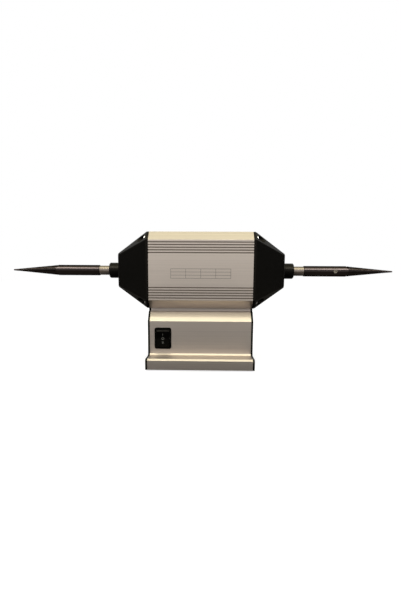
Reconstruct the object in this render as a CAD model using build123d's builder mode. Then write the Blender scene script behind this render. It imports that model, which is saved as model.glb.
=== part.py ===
from build123d import *
from math import pi
import os

# A double-ended polishing motor. A square motor stands on a hollow extruded stand, and a tapered
# screw spindle at each end of its shaft takes felt cones and buffs.
# Millimetres, +Z up, +X along the shaft to the operator's right, front at -Y. The origin is under
# the middle of the stand, on the surface that the rubber feet stand on.

# Clearances and allowances shared by all pieces
overrun = 1.0  # how far a cut runs past the face that it opens
slip = 0.04  # radial clearance of a piece seated in a bore
running = 0.06  # radial clearance of a piece that turns in a bore
apart = 0.4  # room between pieces that pass each other

# Heads of cross-recess screws, as shares of the head's own size
head_round_share = 0.4
recess_span_share = 0.62
recess_width_share = 0.16
recess_depth_share = 0.55

# Rubber feet
foot_diameter = 20.0
foot_height = 2.0
foot_stem_diameter = 5.0
foot_barb_diameter = 7.0
foot_barb_height = 3.0
foot_from_end = 18.7
foot_from_rib = 14.0

# Stand: outline of the extrusion, from the foot upwards, one half of its depth
stand_length = 157.4  # with its side plates
stand_wall = 3.0
stand_half_depth = 87.3
foot_face_height = 13.5
foot_edge_run = 2.6
foot_edge_rise = 2.4
cove = 2.4  # sloped corner between the ledge and the panel
panel_half_depth = 55.3
panel_height = 51.1
lower_shoulder_run = 4.9
lower_shoulder_rise = 5.95
upper_shoulder_run = 7.3
upper_shoulder_rise = 7.95
neck_setback = 4.5  # level step from the shoulders in to the neck
neck_height = 4.8
stand_edge_fillet = 0.6

# Screw ports and ribs that run through the extrusion
port_radius = 3.5
port_bite = 0.8  # how far a port sinks into the wall beside it
rib_width = 9.0
rib_from_front = 13.3  # from the foot's face to the middle of the rib

# Side plates
side_plate_thickness = 3.0
side_plate_chamfer = 0.4
side_screw_diameter = 4.0
side_screw_head = 7.6
side_screw_length = 14.0

# Bottom plate, with tapped holes for bolting the stand to a bench
bottom_plate_thickness = 3.0
bottom_screw_diameter = 4.0
bottom_screw_head = 8.0
bottom_screw_length = 10.0
bottom_screw_from_end = 38.7
bench_hole_diameter = 5.0
bench_hole_from_end = 23.7
bench_hole_from_foot = 30.0

# Motor housing
housing_setback = 1.7  # from an end of the stand to the housing's end
housing_side = 113.2
housing_chamfer = 12.4
housing_wall = 7.1  # at the middle of a side, where it is thinnest
housing_edge_fillet = 0.6
groove_count = 5
groove_pitch = 3.825
groove_width = 1.6
groove_depth = 1.6
groove_margin = 3.5  # from the cut corner to the middle of the first groove

# Rating plate on the front of the housing, left blank
rating_plate_end_margin = 24.0
rating_plate_groove_margin = 3.8
rating_plate_thickness = 0.3
rating_plate_corner = 2.0

# Bolts that hold the motor on the stand, and the grommet that its leads rise through
mount_bolt_diameter = 6.0
mount_bolt_length = 11.0
mount_bolt_head = 10.0
mount_bolt_head_height = 6.0
mount_bolt_key = 5.0
mount_bolt_from_end = 27.0
mount_bolt_from_neck = 16.6
mount_hole_slack = 0.4
mount_hole_spare = 1.5
grommet_from_end = 15.0
grommet_diameter = 12.0
grommet_bore = 8.6
grommet_flange_diameter = 16.0
grommet_flange = 1.5

# End caps
cap_length = 51.0
cap_rim = 3.5
nose_half = 25.5
nose_chamfer = 2.5
nose_fillet = 2.4
cap_edge_radius = 2.0  # of the cut corners' edges at the rim
nose_edge_radius = 1.5  # of the same edges at the nose
nose_wall = 6.0
spigot_length = 6.0
spigot_wall = 6.0
cap_side_wall = 5.5
boss_overhang = 3.0  # how far the bearing's boss reaches past the bearing

# Screws that hold the caps to the housing
cap_screw_inset = 4.4  # from the middle of a cut corner to the screw, across and down
cap_screw_diameter = 5.0
cap_screw_length = 20.0
cap_screw_head = 8.6
cap_screw_head_height = 3.4
cap_screw_floor = 4.0
cap_screw_pocket_slack = 0.7

# Bearings
bearing_bore = 15.0
bearing_diameter = 35.0
bearing_width = 11.0
ball_diameter = 6.0
ball_count = 8
land_gap = 1.5  # from the balls' pitch circle to the lands of the rings
cage_thickness = 1.4
cage_width = 8.6
shield_thickness = 0.6
shield_inset = 0.2
preload_height = 1.2
preload_thickness = 0.7
preload_width = 3.4

# Nose collars with their felt seals
collar_diameter = 24.3
collar_length = 17.8
collar_chamfer = 1.2
collar_spigot_diameter = 21.0
collar_spigot_length = 5.0
collar_bore_slack = 0.5
seal_width = 6.0
seal_diameter = 18.6

# Shaft
core_seat_step = 0.5  # from the bearing's shoulder up to the armature's seat
core_seat_from_joint = 2.0
shoulder_step = 2.0  # from the bearing's bore up to the shoulder it stands against
journal_spare = 0.8
shaft_step = 0.1  # from the bearing's bore down to the shaft outside it
shaft_exposed = 16.1  # bright stretch between the collar and the spindle
spindle_seat_diameter = 10.0
spindle_seat_length = 56.0
spindle_seat_chamfer = 1.0

# Taper spindles
sleeve_diameter = 16.5
sleeve_length = 69.5
sleeve_chamfer = 0.8
sleeve_bore_spare = 1.0
relief_width = 2.6
relief_depth = 0.9
cone_length = 70.6
cone_base_step = 0.35  # from the sleeve down to the cone's base
cone_tip_diameter = 1.6
thread_pitch = 2.0
thread_depth = 0.45
set_screw_diameter = 6.0
set_screw_key = 3.0
set_screw_key_depth = 2.0
set_screw_from_end = 20.5
set_screw_sink = 0.2

# Armature
slot_count = 12
slot_inset = 8.5  # from the core's rim to the middles of its slots
slot_share = 0.69  # of a slot's room round the core
slot_opening = 3.0
slot_liner = 0.4
winding_shaft_gap = 5.0
winding_inset = 3.5
winding_overhang = 13.0
winding_round_share = 0.26
winding_to_commutator = 5.1

# Commutator
commutator_rise = 8.0  # from the shaft up to the face that the brushes run on
commutator_before_brush = 13.0
commutator_length = 20.0
commutator_hub_wall = 3.0
commutator_hub_overhang = 1.5
bar_count = 24
bar_gap = 0.6

# Field magnets in their steel ring
flux_ring_wall = 6.4
flux_ring_overhang = 8.0
magnet_thickness = 8.0
magnet_overhang = 3.0
magnet_air_gap = 1.0
magnet_arc = 144.0  # degrees
clip_thickness_share = 0.5  # of the magnets' thickness

# Brush gear
brush_plate_thickness = 3.0
brush_plate_bore = 42.0
brush_plate_screw_diameter = 3.0
brush_plate_screw_length = 8.0
brush_plate_screw_head = 5.4
brush_plate_screw_head_height = 2.0
brush_plate_screw_count = 4
brush_length = 14.0
brush_width = 10.6
brush_thickness = 9.6
brush_slack = 0.2
holder_wall = 1.0
holder_from_commutator = 2.0
brush_spring_room = 7.0
brush_spring_diameter = 6.4
brush_spring_wire = 0.8
brush_spring_turns = 5
brush_spring_end_gap = 0.1

# Three-position rocker switch on the front of the stand
switch_from_end = 22.7
switch_from_ledge = 25.4
bezel_side = 1.8
bezel_end = 2.1
bezel_thickness = 2.0
bezel_corner = 3.0
switch_body_width = 21.4
switch_body_height = 28.0
switch_body_depth = 20.0
switch_side_wall = 1.1
switch_end_wall = 0.7
switch_floor = 8.0
switch_tab_width = 8.0
switch_tab_height = 1.2
switch_tab_length = 4.0
rocker_edge_reach = 7.0
rocker_middle_reach = 4.7
rocker_back_reach = 4.0
rocker_pivot_depth = 2.0
rocker_fillet = 0.6
pivot_pin_diameter = 2.6
terminal_spacing_x = 12.0
terminal_spacing_z = 9.0
terminal_rows = 3
terminal_width = 6.3
terminal_thickness = 0.8
terminal_length = 8.5

# Mains inlet on the back of the stand
inlet_from_end = 38.7
inlet_flange_ear = 5.0  # from a screw to the flange's end
inlet_flange_lip = 1.6
inlet_flange_thickness = 3.2
inlet_flange_corner = 4.0
inlet_body_width = 27.4
inlet_body_height = 19.8
inlet_body_depth = 20.0
inlet_body_corner = 2.0
inlet_side_wall = 1.7
inlet_end_wall = 1.9
inlet_socket_depth = 16.4
inlet_socket_cut = 4.0  # the socket's two sloped corners
inlet_pin_spacing = 14.0
inlet_pin_drop = 1.5
inlet_earth_rise = 2.5
inlet_pin_thickness = 2.0
inlet_pin_height = 4.0
inlet_pin_sink = 1.5
inlet_tab_length = 9.0
inlet_tab_thickness = 0.8
inlet_screw_spacing = 40.0
inlet_screw_diameter = 3.0
inlet_screw_head = 5.8
inlet_screw_length = 10.0
inlet_nut_size = 5.5
inlet_nut_height = 2.4

# Control board inside the stand
board_length = 90.0
board_width = 50.0
board_thickness = 1.6
board_from_end = 6.7
board_lead_gap = 3.2
component_gap = 3.0
standoff_height = 6.0
standoff_diameter = 6.0
standoff_stud_diameter = 4.0
standoff_margin = 4.0
board_screw_diameter = 3.0
board_screw_length = 6.0
board_screw_head = 5.4
board_screw_head_height = 2.0
terminal_block_length = 12.0
terminal_block_width = 16.0
terminal_block_height = 12.0
terminal_block_chamfer = 2.0
rectifier_side = 22.0
rectifier_height = 9.0
rectifier_corner = 4.0
rectifier_hole = 5.0
capacitor_length = 26.0
capacitor_width = 11.0
capacitor_height = 19.0
capacitor_round = 1.5

# Internal leads
lead_diameter = 2.2
lead_pair_half = 2.6
lead_bend = 4.0
lead_sweep = 8.0
lead_plate_margin = 3.6  # from the brush plate's rim to the ends of the motor leads
supply_lead_run = 12.0
earth_lead_run = 5.0

# Heights and places that follow from the sizes above
stand_bottom = foot_height
ledge_z = stand_bottom + foot_face_height + foot_edge_rise
panel_top_z = ledge_z + panel_height
shoulder_z = panel_top_z + lower_shoulder_rise
neck_z = shoulder_z + upper_shoulder_rise
stand_top = neck_z + neck_height
shoulder_half_depth = panel_half_depth - lower_shoulder_run
step_half_depth = shoulder_half_depth - upper_shoulder_run
neck_half_depth = step_half_depth - neck_setback
extrusion_length = stand_length - 2 * side_plate_thickness
axis_z = stand_top + housing_side / 2
plate_top = stand_bottom + bottom_plate_thickness
rib_y = stand_half_depth - rib_from_front
foot_y = rib_y - foot_from_rib
foot_spacing_x = stand_length - 2 * foot_from_end
bench_hole_spacing_x = stand_length - 2 * bench_hole_from_end
bench_hole_spacing_y = 2 * (foot_y - bench_hole_from_foot)

housing_length = stand_length - 2 * housing_setback
housing_bore = housing_side - 2 * housing_wall
groove_reach = housing_side / 2 - housing_chamfer - groove_margin
groove_end = groove_reach - (groove_count - 1) * groove_pitch - groove_width / 2
rating_plate_length = housing_length - 2 * rating_plate_end_margin
rating_plate_height = 2 * (groove_end - rating_plate_groove_margin)
cap_screw_spacing = housing_side - housing_chamfer - 2 * cap_screw_inset
mount_bolt_x = housing_length / 2 - mount_bolt_from_end
mount_bolt_y = neck_half_depth - mount_bolt_from_neck
grommet_x = housing_length / 2 - grommet_from_end

joint_x = housing_length / 2
nose_x = joint_x + cap_length
spigot_radius = housing_bore / 2 - slip
bearing_outer_x = nose_x - nose_wall - preload_height
bearing_middle_x = bearing_outer_x - bearing_width / 2
bearing_inner_x = bearing_outer_x - bearing_width
boss_x = bearing_inner_x - boss_overhang
collar_x = nose_x + collar_length
sleeve_x = collar_x + shaft_exposed
cone_x = sleeve_x + sleeve_length
tip_x = cone_x + cone_length
shaft_diameter = bearing_bore - 2 * shaft_step
shoulder_diameter = bearing_bore + 2 * shoulder_step
core_seat_diameter = shoulder_diameter + 2 * core_seat_step
cone_base_diameter = sleeve_diameter - 2 * cone_base_step

commutator_diameter = core_seat_diameter + 2 * commutator_rise
commutator_hub_diameter = core_seat_diameter + 2 * commutator_hub_wall
brush_plate_x = joint_x - spigot_length - brush_plate_thickness
brush_plate_radius = housing_bore / 2 - apart
holder_middle_x = brush_plate_x - brush_thickness / 2 - brush_slack - holder_wall
brush_face = commutator_diameter / 2 + apart
brush_back = brush_face + brush_length
holder_near = commutator_diameter / 2 + holder_from_commutator
holder_far = brush_back + brush_spring_room
commutator_start = holder_middle_x - commutator_before_brush
winding_end = commutator_start - commutator_hub_overhang - winding_to_commutator
winding_start = winding_end - winding_overhang
core_length = 2 * (winding_start - slot_liner)
magnet_length = core_length + 2 * magnet_overhang
flux_ring_length = magnet_length + 2 * flux_ring_overhang
flux_outer = housing_bore / 2 - slip
flux_inner = flux_outer - flux_ring_wall
magnet_outer = flux_inner - slip
magnet_inner = magnet_outer - magnet_thickness
core_diameter = 2 * (magnet_inner - magnet_air_gap)
slot_circle = core_diameter - 2 * slot_inset
slot_diameter = slot_share * pi * slot_circle / slot_count
winding_inner_diameter = core_seat_diameter + 2 * winding_shaft_gap
winding_outer_diameter = core_diameter - 2 * winding_inset

switch_x = -stand_length / 2 + switch_from_end
switch_z = ledge_z + switch_from_ledge
bezel_width = switch_body_width + 2 * bezel_side
bezel_height = switch_body_height + 2 * bezel_end
rocker_width = switch_body_width - 2 * switch_side_wall - 2 * apart
rocker_radius = switch_body_height / 2 - switch_end_wall - apart
pivot_y = -panel_half_depth + rocker_pivot_depth
inlet_x = stand_length / 2 - inlet_from_end
inlet_z = switch_z
inlet_flange_width = inlet_screw_spacing + 2 * inlet_flange_ear
inlet_flange_height = inlet_body_height + 2 * inlet_flange_lip
inlet_socket_width = inlet_body_width - 2 * inlet_side_wall
inlet_socket_height = inlet_body_height - 2 * inlet_end_wall
tab_y = panel_half_depth - inlet_body_depth - inlet_tab_length
earth_y = tab_y - earth_lead_run
board_x = extrusion_length / 2 - board_from_end - board_length / 2
board_y = earth_y - lead_diameter / 2 - board_lead_gap - board_width / 2
board_top = plate_top + standoff_height + board_thickness
block_top = board_top + terminal_block_height
capacitor_x = grommet_x - (terminal_block_length + capacitor_length) / 2 - component_gap
rectifier_x = capacitor_x - (capacitor_length + rectifier_side) / 2 - component_gap
supply_block_x = rectifier_x - (rectifier_side + terminal_block_length) / 2 - component_gap

sides = ((-1, "left"), (1, "right"))
shaft_axis = Axis((0, 0, axis_z), (1, 0, 0))
stand_on = (Align.CENTER, Align.CENTER, Align.MIN)
hang_from = (Align.CENTER, Align.CENTER, Align.MAX)

os.makedirs("parts", exist_ok=True)


def save(piece, name):
    """Label a finished piece and write its file."""
    piece.part.label = name
    export_step(piece.part, f"parts/{name}.step")


def shaft_plane(side, distance):
    """Plane across the shaft, facing outwards, at a distance from the middle of the motor."""
    return Plane(origin=(side * distance, 0, axis_z), x_dir=(0, side, 0), z_dir=(side, 0, 0))


def half_plane(side):
    """Plane along the shaft: local X runs outwards on that side and local Y is the radius."""
    return Plane(origin=(0, 0, axis_z), x_dir=(side, 0, 0), z_dir=(0, -side, 0))


def turned(side, outline):
    """Piece turned about the shaft from points of distance from the middle and radius."""
    with BuildPart() as piece:
        with BuildSketch(half_plane(side)):
            with BuildLine():
                Polyline(*outline, close=True)
            make_face()
        revolve(axis=shaft_axis)
    return piece.part


def ring(side, start, end, inner_radius, outer_radius):
    """Plain ring about the shaft."""
    outline = [(start, inner_radius), (end, inner_radius), (end, outer_radius), (start, outer_radius)]
    return turned(side, outline)


def octagon(half, cut):
    """Points of a square with cut corners."""
    flat = half - cut
    quarter = [(half, flat), (flat, half)]
    opposite = [(-flat, half), (-half, flat)]
    return quarter + opposite + [(-y, -z) for y, z in quarter] + [(-y, -z) for y, z in opposite]


def cross_recess(head_diameter, depth):
    """Cross-shaped recess cut into the part being built, from the height of the current place."""
    for turn in (0, 90):
        Box(
            head_diameter * recess_span_share,
            head_diameter * recess_width_share,
            2 * depth,
            rotation=(0, 0, turn),
            mode=Mode.SUBTRACT,
        )


def pan_screw(head_diameter, head_height, shank_diameter, shank_length):
    """Round-headed screw with the seat of its head at z = 0 and its shank down -Z."""
    with BuildPart() as screw:
        Cylinder(head_diameter / 2, head_height, align=stand_on)
        fillet(screw.edges().group_by(Axis.Z)[-1], head_height * head_round_share)
        with Locations((0, 0, head_height)):
            cross_recess(head_diameter, head_height * recess_depth_share)
        Cylinder(shank_diameter / 2 - slip, shank_length, align=hang_from)
    return screw.part


def countersunk_screw(head_diameter, shank_diameter, shank_length):
    """Flush screw with the top of its head at z = 0 and its shank down -Z."""
    head_height = (head_diameter - shank_diameter) / 2
    with BuildPart() as screw:
        Cone(shank_diameter / 2 - slip, head_diameter / 2 - slip, head_height, align=hang_from)
        Cylinder(shank_diameter / 2 - slip, shank_length, align=hang_from)
        cross_recess(head_diameter, head_height * recess_depth_share)
    return screw.part


def socket_bolt(head_diameter, head_height, key_size, shank_diameter, shank_length):
    """Socket-head bolt with the seat of its head at z = 0 and its shank down -Z."""
    with BuildPart() as bolt:
        Cylinder(head_diameter / 2, head_height, align=stand_on)
        with BuildSketch(Plane.XY.offset(head_height)):
            RegularPolygon(key_size / 2, 6, major_radius=False)
        extrude(amount=-head_height * recess_depth_share, mode=Mode.SUBTRACT)
        Cylinder(shank_diameter / 2 - slip, shank_length, align=hang_from)
    return bolt.part


# Corners of the stand's front half, from the foot upwards: depth, height and rounding
stand_corners = [
    (-stand_half_depth, stand_bottom, 0),
    (-stand_half_depth, stand_bottom + foot_face_height, stand_edge_fillet),
    (-stand_half_depth + foot_edge_run, ledge_z, stand_edge_fillet),
    (-panel_half_depth - cove, ledge_z, stand_edge_fillet),
    (-panel_half_depth, ledge_z + cove, stand_edge_fillet),
    (-panel_half_depth, panel_top_z, stand_edge_fillet),
    (-shoulder_half_depth, shoulder_z, stand_edge_fillet),
    (-step_half_depth, neck_z, stand_edge_fillet),
    (-neck_half_depth, neck_z, stand_edge_fillet),
    (-neck_half_depth, stand_top, 0),
]
stand_corners += [(-y, z, rounding) for y, z, rounding in reversed(stand_corners)]
stand_outline = [(y, z) for y, z, rounding in stand_corners]
stand_roundings = [rounding for y, z, rounding in stand_corners]

upper_port = (neck_half_depth - stand_wall - port_radius + port_bite,
              stand_top - stand_wall - port_radius + port_bite)
lower_port = (stand_half_depth - stand_wall - port_radius + port_bite,
              ledge_z - stand_wall - port_radius + port_bite)
port_places = [(side * y, z) for y, z in (upper_port, lower_port) for side in (-1, 1)]

# Stand: one hollow extrusion, open at both ends and below
bottom_screw_x = stand_length / 2 - bottom_screw_from_end
bottom_screw_places = [(x * bottom_screw_x, y * rib_y) for x in (-1, 1) for y in (-1, 1)]
mount_bolt_places = [(x * mount_bolt_x, y * mount_bolt_y) for x in (-1, 1) for y in (-1, 1)]
switch_plane = Plane(origin=(switch_x, -panel_half_depth, switch_z), x_dir=(1, 0, 0), z_dir=(0, -1, 0))
inlet_plane = Plane(origin=(inlet_x, panel_half_depth, inlet_z), x_dir=(-1, 0, 0), z_dir=(0, 1, 0))

with BuildPart() as stand_extrusion:
    with BuildSketch(Plane.YZ.offset(-extrusion_length / 2)):
        with BuildLine():
            FilletPolyline(*stand_outline, radius=stand_roundings, close=True)
        make_face()
        with BuildSketch(mode=Mode.SUBTRACT):
            with BuildLine():
                Polyline(*stand_outline, close=True)
            make_face()
            offset(amount=-stand_wall, kind=Kind.INTERSECTION, mode=Mode.REPLACE)
            with Locations((0, stand_bottom)):
                Rectangle(2 * (stand_half_depth - stand_wall), 2 * stand_wall + overrun)
        with Locations(*port_places):
            Circle(port_radius)
        rib_height = ledge_z - stand_wall / 2 - plate_top
        with Locations(*[(side * rib_y, plate_top + rib_height / 2) for side in (-1, 1)]):
            Rectangle(rib_width, rib_height)
        with Locations(*port_places):
            Circle(side_screw_diameter / 2, mode=Mode.SUBTRACT)
    extrude(amount=extrusion_length)
    with BuildSketch(Plane.XY.offset(plate_top)):
        with Locations(*bottom_screw_places):
            Circle(bottom_screw_diameter / 2)
    extrude(amount=bottom_screw_length - bottom_plate_thickness + slip, mode=Mode.SUBTRACT)
    with BuildSketch(Plane.XY.offset(stand_top - stand_wall - overrun)):
        with Locations(*mount_bolt_places):
            Circle(mount_bolt_diameter / 2 + mount_hole_slack)
        with Locations((grommet_x, 0)):
            Circle(grommet_diameter / 2 + slip)
    extrude(amount=stand_wall + 2 * overrun, mode=Mode.SUBTRACT)
    with BuildSketch(switch_plane.offset(overrun)):
        Rectangle(switch_body_width + 2 * slip, switch_body_height + 2 * slip)
    extrude(amount=-(stand_wall + 2 * overrun), mode=Mode.SUBTRACT)
    with BuildSketch(inlet_plane.offset(overrun)):
        RectangleRounded(inlet_body_width + 2 * slip, inlet_body_height + 2 * slip, inlet_body_corner)
        with GridLocations(inlet_screw_spacing, 0, 2, 1):
            Circle(inlet_screw_diameter / 2)
    extrude(amount=-(stand_wall + 2 * overrun), mode=Mode.SUBTRACT)
save(stand_extrusion, "stand_extrusion")

# Side plates: black end covers with the stand's own outline, held by flush screws
side_screw = countersunk_screw(side_screw_head, side_screw_diameter, side_screw_length)
side_screw_places = []
for side, hand in sides:
    outer_face = side * stand_length / 2
    faces = [Plane((outer_face, y, z), x_dir=(0, side, 0), z_dir=(side, 0, 0)) for y, z in port_places]
    side_screw_places += faces
    with BuildPart() as side_plate:
        with BuildSketch(Plane.YZ.offset(side * extrusion_length / 2)):
            with BuildLine():
                FilletPolyline(*stand_outline, radius=stand_roundings, close=True)
            make_face()
        extrude(amount=side * side_plate_thickness)
        outer_edges = side_plate.faces().sort_by(Axis((0, 0, 0), (side, 0, 0)))[-1].edges()
        chamfer(outer_edges, side_plate_chamfer)
        with Locations(*faces):
            CounterSinkHole(side_screw_diameter / 2, side_screw_head / 2, counter_sink_angle=90)
    save(side_plate, f"{hand}_side_plate")

with BuildPart() as side_plate_screws:
    with Locations(*side_screw_places):
        add(side_screw)
save(side_plate_screws, "side_plate_screws")

# Bottom plate: closes the stand, carries the feet and the control board
standoff_spacing_x = board_length - 2 * standoff_margin
standoff_spacing_y = board_width - 2 * standoff_margin
standoff_places = [
    (board_x + x * standoff_spacing_x / 2, board_y + y * standoff_spacing_y / 2)
    for x in (-1, 1)
    for y in (-1, 1)
]
bottom_screw_planes = [
    Plane((x, y, stand_bottom), x_dir=(1, 0, 0), z_dir=(0, 0, -1)) for x, y in bottom_screw_places
]

with BuildPart() as bottom_plate:
    with BuildSketch(Plane.XY.offset(stand_bottom)):
        Rectangle(extrusion_length, 2 * (stand_half_depth - stand_wall - apart))
        with GridLocations(foot_spacing_x, 2 * foot_y, 2, 2):
            Circle(foot_stem_diameter / 2 + slip, mode=Mode.SUBTRACT)
        with GridLocations(bench_hole_spacing_x, bench_hole_spacing_y, 2, 2):
            Circle(bench_hole_diameter / 2, mode=Mode.SUBTRACT)
        with Locations(*standoff_places):
            Circle(standoff_stud_diameter / 2 + slip, mode=Mode.SUBTRACT)
    extrude(amount=bottom_plate_thickness)
    with Locations(*bottom_screw_planes):
        CounterSinkHole(bottom_screw_diameter / 2, bottom_screw_head / 2, counter_sink_angle=90)
save(bottom_plate, "bottom_plate")

with BuildPart() as bottom_plate_screws:
    with Locations(*bottom_screw_planes):
        add(countersunk_screw(bottom_screw_head, bottom_screw_diameter, bottom_screw_length))
save(bottom_plate_screws, "bottom_plate_screws")

# Rubber feet: a pad below the plate, a stem through it and a barb above
with BuildPart() as rubber_feet:
    with GridLocations(foot_spacing_x, 2 * foot_y, 2, 2):
        Cylinder(foot_diameter / 2, foot_height, align=stand_on)
        Cylinder(foot_stem_diameter / 2, plate_top, align=stand_on)
        with Locations((0, 0, plate_top)):
            Cone(foot_barb_diameter / 2, foot_stem_diameter / 2, foot_barb_height, align=stand_on)
save(rubber_feet, "rubber_feet")

# Motor housing: a square extrusion with cut corners, grooved on the front and back
groove_places = [
    (y * (housing_side - groove_depth) / 2, z * (groove_reach - step * groove_pitch))
    for y in (-1, 1)
    for z in (-1, 1)
    for step in range(groove_count)
]

with BuildPart() as motor_housing:
    with BuildSketch(shaft_plane(1, -joint_x)) as housing_section:
        with BuildLine():
            Polyline(*octagon(housing_side / 2, housing_chamfer), close=True)
        make_face()
        fillet(housing_section.vertices(), housing_edge_fillet)
        Circle(housing_bore / 2, mode=Mode.SUBTRACT)
        with GridLocations(cap_screw_spacing, cap_screw_spacing, 2, 2):
            Circle(cap_screw_diameter / 2, mode=Mode.SUBTRACT)
        with Locations(*groove_places):
            Rectangle(groove_depth, groove_width, mode=Mode.SUBTRACT)
    extrude(amount=housing_length)
    with BuildSketch(Plane.XY.offset(stand_top)):
        with Locations(*mount_bolt_places):
            Circle(mount_bolt_diameter / 2)
    extrude(amount=mount_bolt_length - stand_wall + mount_hole_spare, mode=Mode.SUBTRACT)
    with BuildSketch(Plane.XY.offset(stand_top)):
        with Locations((grommet_x, 0)):
            Circle(grommet_diameter / 2 + slip)
    extrude(amount=housing_side / 2, mode=Mode.SUBTRACT)
save(motor_housing, "motor_housing")

with BuildPart() as rating_plate:
    front_face = Plane((0, -housing_side / 2, axis_z), x_dir=(1, 0, 0), z_dir=(0, -1, 0))
    with BuildSketch(front_face):
        RectangleRounded(rating_plate_length, rating_plate_height, rating_plate_corner)
    extrude(amount=rating_plate_thickness)
save(rating_plate, "rating_plate")

with BuildPart() as motor_mount_bolts:
    under_stand_top = stand_top - stand_wall
    with Locations(
        *[Plane((x, y, under_stand_top), x_dir=(1, 0, 0), z_dir=(0, 0, -1)) for x, y in mount_bolt_places]
    ):
        add(
            socket_bolt(
                mount_bolt_head,
                mount_bolt_head_height,
                mount_bolt_key,
                mount_bolt_diameter,
                mount_bolt_length,
            )
        )
save(motor_mount_bolts, "motor_mount_bolts")

with BuildPart() as lead_grommet:
    with BuildSketch(Plane.XY.offset(stand_top - stand_wall)):
        with Locations((grommet_x, 0)):
            Circle(grommet_diameter / 2)
    extrude(amount=stand_wall + housing_wall)
    with BuildSketch(Plane.XY.offset(stand_top - stand_wall)):
        with Locations((grommet_x, 0)):
            Circle(grommet_flange_diameter / 2)
    extrude(amount=-grommet_flange)
    with BuildSketch(Plane.XY.offset(stand_top - stand_wall - grommet_flange)):
        with Locations((grommet_x, 0)):
            Circle(grommet_bore / 2)
    extrude(amount=grommet_flange + stand_wall + housing_wall, mode=Mode.SUBTRACT)
save(lead_grommet, "lead_grommet")

# End caps: hollow tapered castings with a spigot in the housing and a bearing seat in the nose
hollow_start = joint_x + cap_rim
taper = (housing_side / 2 - nose_half) / (cap_length - cap_rim)
hollow_end_radius = housing_side / 2 - taper * (boss_x - joint_x - cap_rim) - cap_side_wall
hollow_radius = housing_side / 2 - cap_side_wall
cap_hollow = [
    (joint_x - spigot_length - overrun, 0),
    (joint_x - spigot_length - overrun, spigot_radius - spigot_wall),
    (hollow_start, spigot_radius - spigot_wall),
    (hollow_start, hollow_radius),
    (boss_x, hollow_end_radius),
    (boss_x, 0),
]
brush_screw_circle = spigot_radius - spigot_wall / 2
rim_corners = octagon(housing_side / 2, housing_chamfer)
nose_corners = octagon(nose_half, nose_chamfer)

for side, hand in sides:
    with BuildPart() as end_cap:
        with BuildSketch(shaft_plane(side, joint_x)):
            with BuildLine():
                FilletPolyline(*rim_corners, radius=cap_edge_radius, close=True)
            make_face()
        extrude(amount=cap_rim)
        for distance, corners, rounding in (
            (joint_x + cap_rim, rim_corners, cap_edge_radius),
            (nose_x, nose_corners, nose_edge_radius),
        ):
            with BuildSketch(shaft_plane(side, distance)):
                with BuildLine():
                    FilletPolyline(*corners, radius=rounding, close=True)
                make_face()
        loft(ruled=True)
        nose_edges = end_cap.faces().sort_by(Axis((0, 0, axis_z), (side, 0, 0)))[-1].edges()
        fillet(nose_edges, nose_fillet)
        with BuildSketch(half_plane(side)):
            with Locations((joint_x - spigot_length / 2, spigot_radius - spigot_wall / 2)):
                Rectangle(spigot_length, spigot_wall)
        revolve(axis=shaft_axis)
        add(turned(side, cap_hollow), mode=Mode.SUBTRACT)
        with BuildSketch(shaft_plane(side, boss_x)):
            Circle(bearing_diameter / 2 + slip)
        extrude(amount=nose_x - nose_wall - boss_x, mode=Mode.SUBTRACT)
        with BuildSketch(shaft_plane(side, nose_x + overrun)):
            Circle(collar_spigot_diameter / 2 + slip)
        extrude(amount=-(nose_wall + 2 * overrun), mode=Mode.SUBTRACT)
        with BuildSketch(shaft_plane(side, joint_x + cap_screw_floor)):
            with GridLocations(cap_screw_spacing, cap_screw_spacing, 2, 2):
                Circle(cap_screw_head / 2 + cap_screw_pocket_slack)
        extrude(amount=cap_length, mode=Mode.SUBTRACT)
        with BuildSketch(shaft_plane(side, joint_x - overrun)):
            with GridLocations(cap_screw_spacing, cap_screw_spacing, 2, 2):
                Circle(cap_screw_diameter / 2 + slip)
        extrude(amount=cap_screw_floor + 2 * overrun, mode=Mode.SUBTRACT)
        if hand == "right":
            with BuildSketch(shaft_plane(side, joint_x - spigot_length)):
                with PolarLocations(brush_screw_circle, brush_plate_screw_count, start_angle=45):
                    Circle(brush_plate_screw_diameter / 2)
            extrude(amount=brush_plate_screw_length, mode=Mode.SUBTRACT)
    save(end_cap, f"{hand}_end_cap")

with BuildPart() as cap_screws:
    for side, hand in sides:
        seat = shaft_plane(side, joint_x + cap_screw_floor)
        with Locations(seat):
            with GridLocations(cap_screw_spacing, cap_screw_spacing, 2, 2):
                add(pan_screw(cap_screw_head, cap_screw_head_height, cap_screw_diameter, cap_screw_length))
save(cap_screws, "cap_screws")

# Nose collars, each with a felt ring that keeps polishing dust out of the bearing
collar_bore = shaft_diameter / 2 + collar_bore_slack
collar_inner_x = nose_x - collar_spigot_length
seal_end_x = collar_inner_x + seal_width
collar_outline = [
    (collar_inner_x, seal_diameter / 2 + slip),
    (seal_end_x, seal_diameter / 2 + slip),
    (seal_end_x, collar_bore),
    (collar_x, collar_bore),
    (collar_x, collar_diameter / 2 - collar_chamfer),
    (collar_x - collar_chamfer, collar_diameter / 2),
    (nose_x, collar_diameter / 2),
    (nose_x, collar_spigot_diameter / 2),
    (collar_inner_x, collar_spigot_diameter / 2),
]
for side, hand in sides:
    with BuildPart() as nose_collar:
        add(turned(side, collar_outline))
    save(nose_collar, f"{hand}_nose_collar")

with BuildPart() as shaft_seals:
    for side, hand in sides:
        add(ring(side, collar_inner_x, seal_end_x, shaft_diameter / 2 + running, seal_diameter / 2))
save(shaft_seals, "shaft_seals")

# Bearings: two rings, a caged row of balls and a pair of shields
pitch_radius = (bearing_bore + bearing_diameter) / 4
inner_land = pitch_radius - land_gap
outer_land = pitch_radius + land_gap
race_radius = ball_diameter / 2 + running


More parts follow.
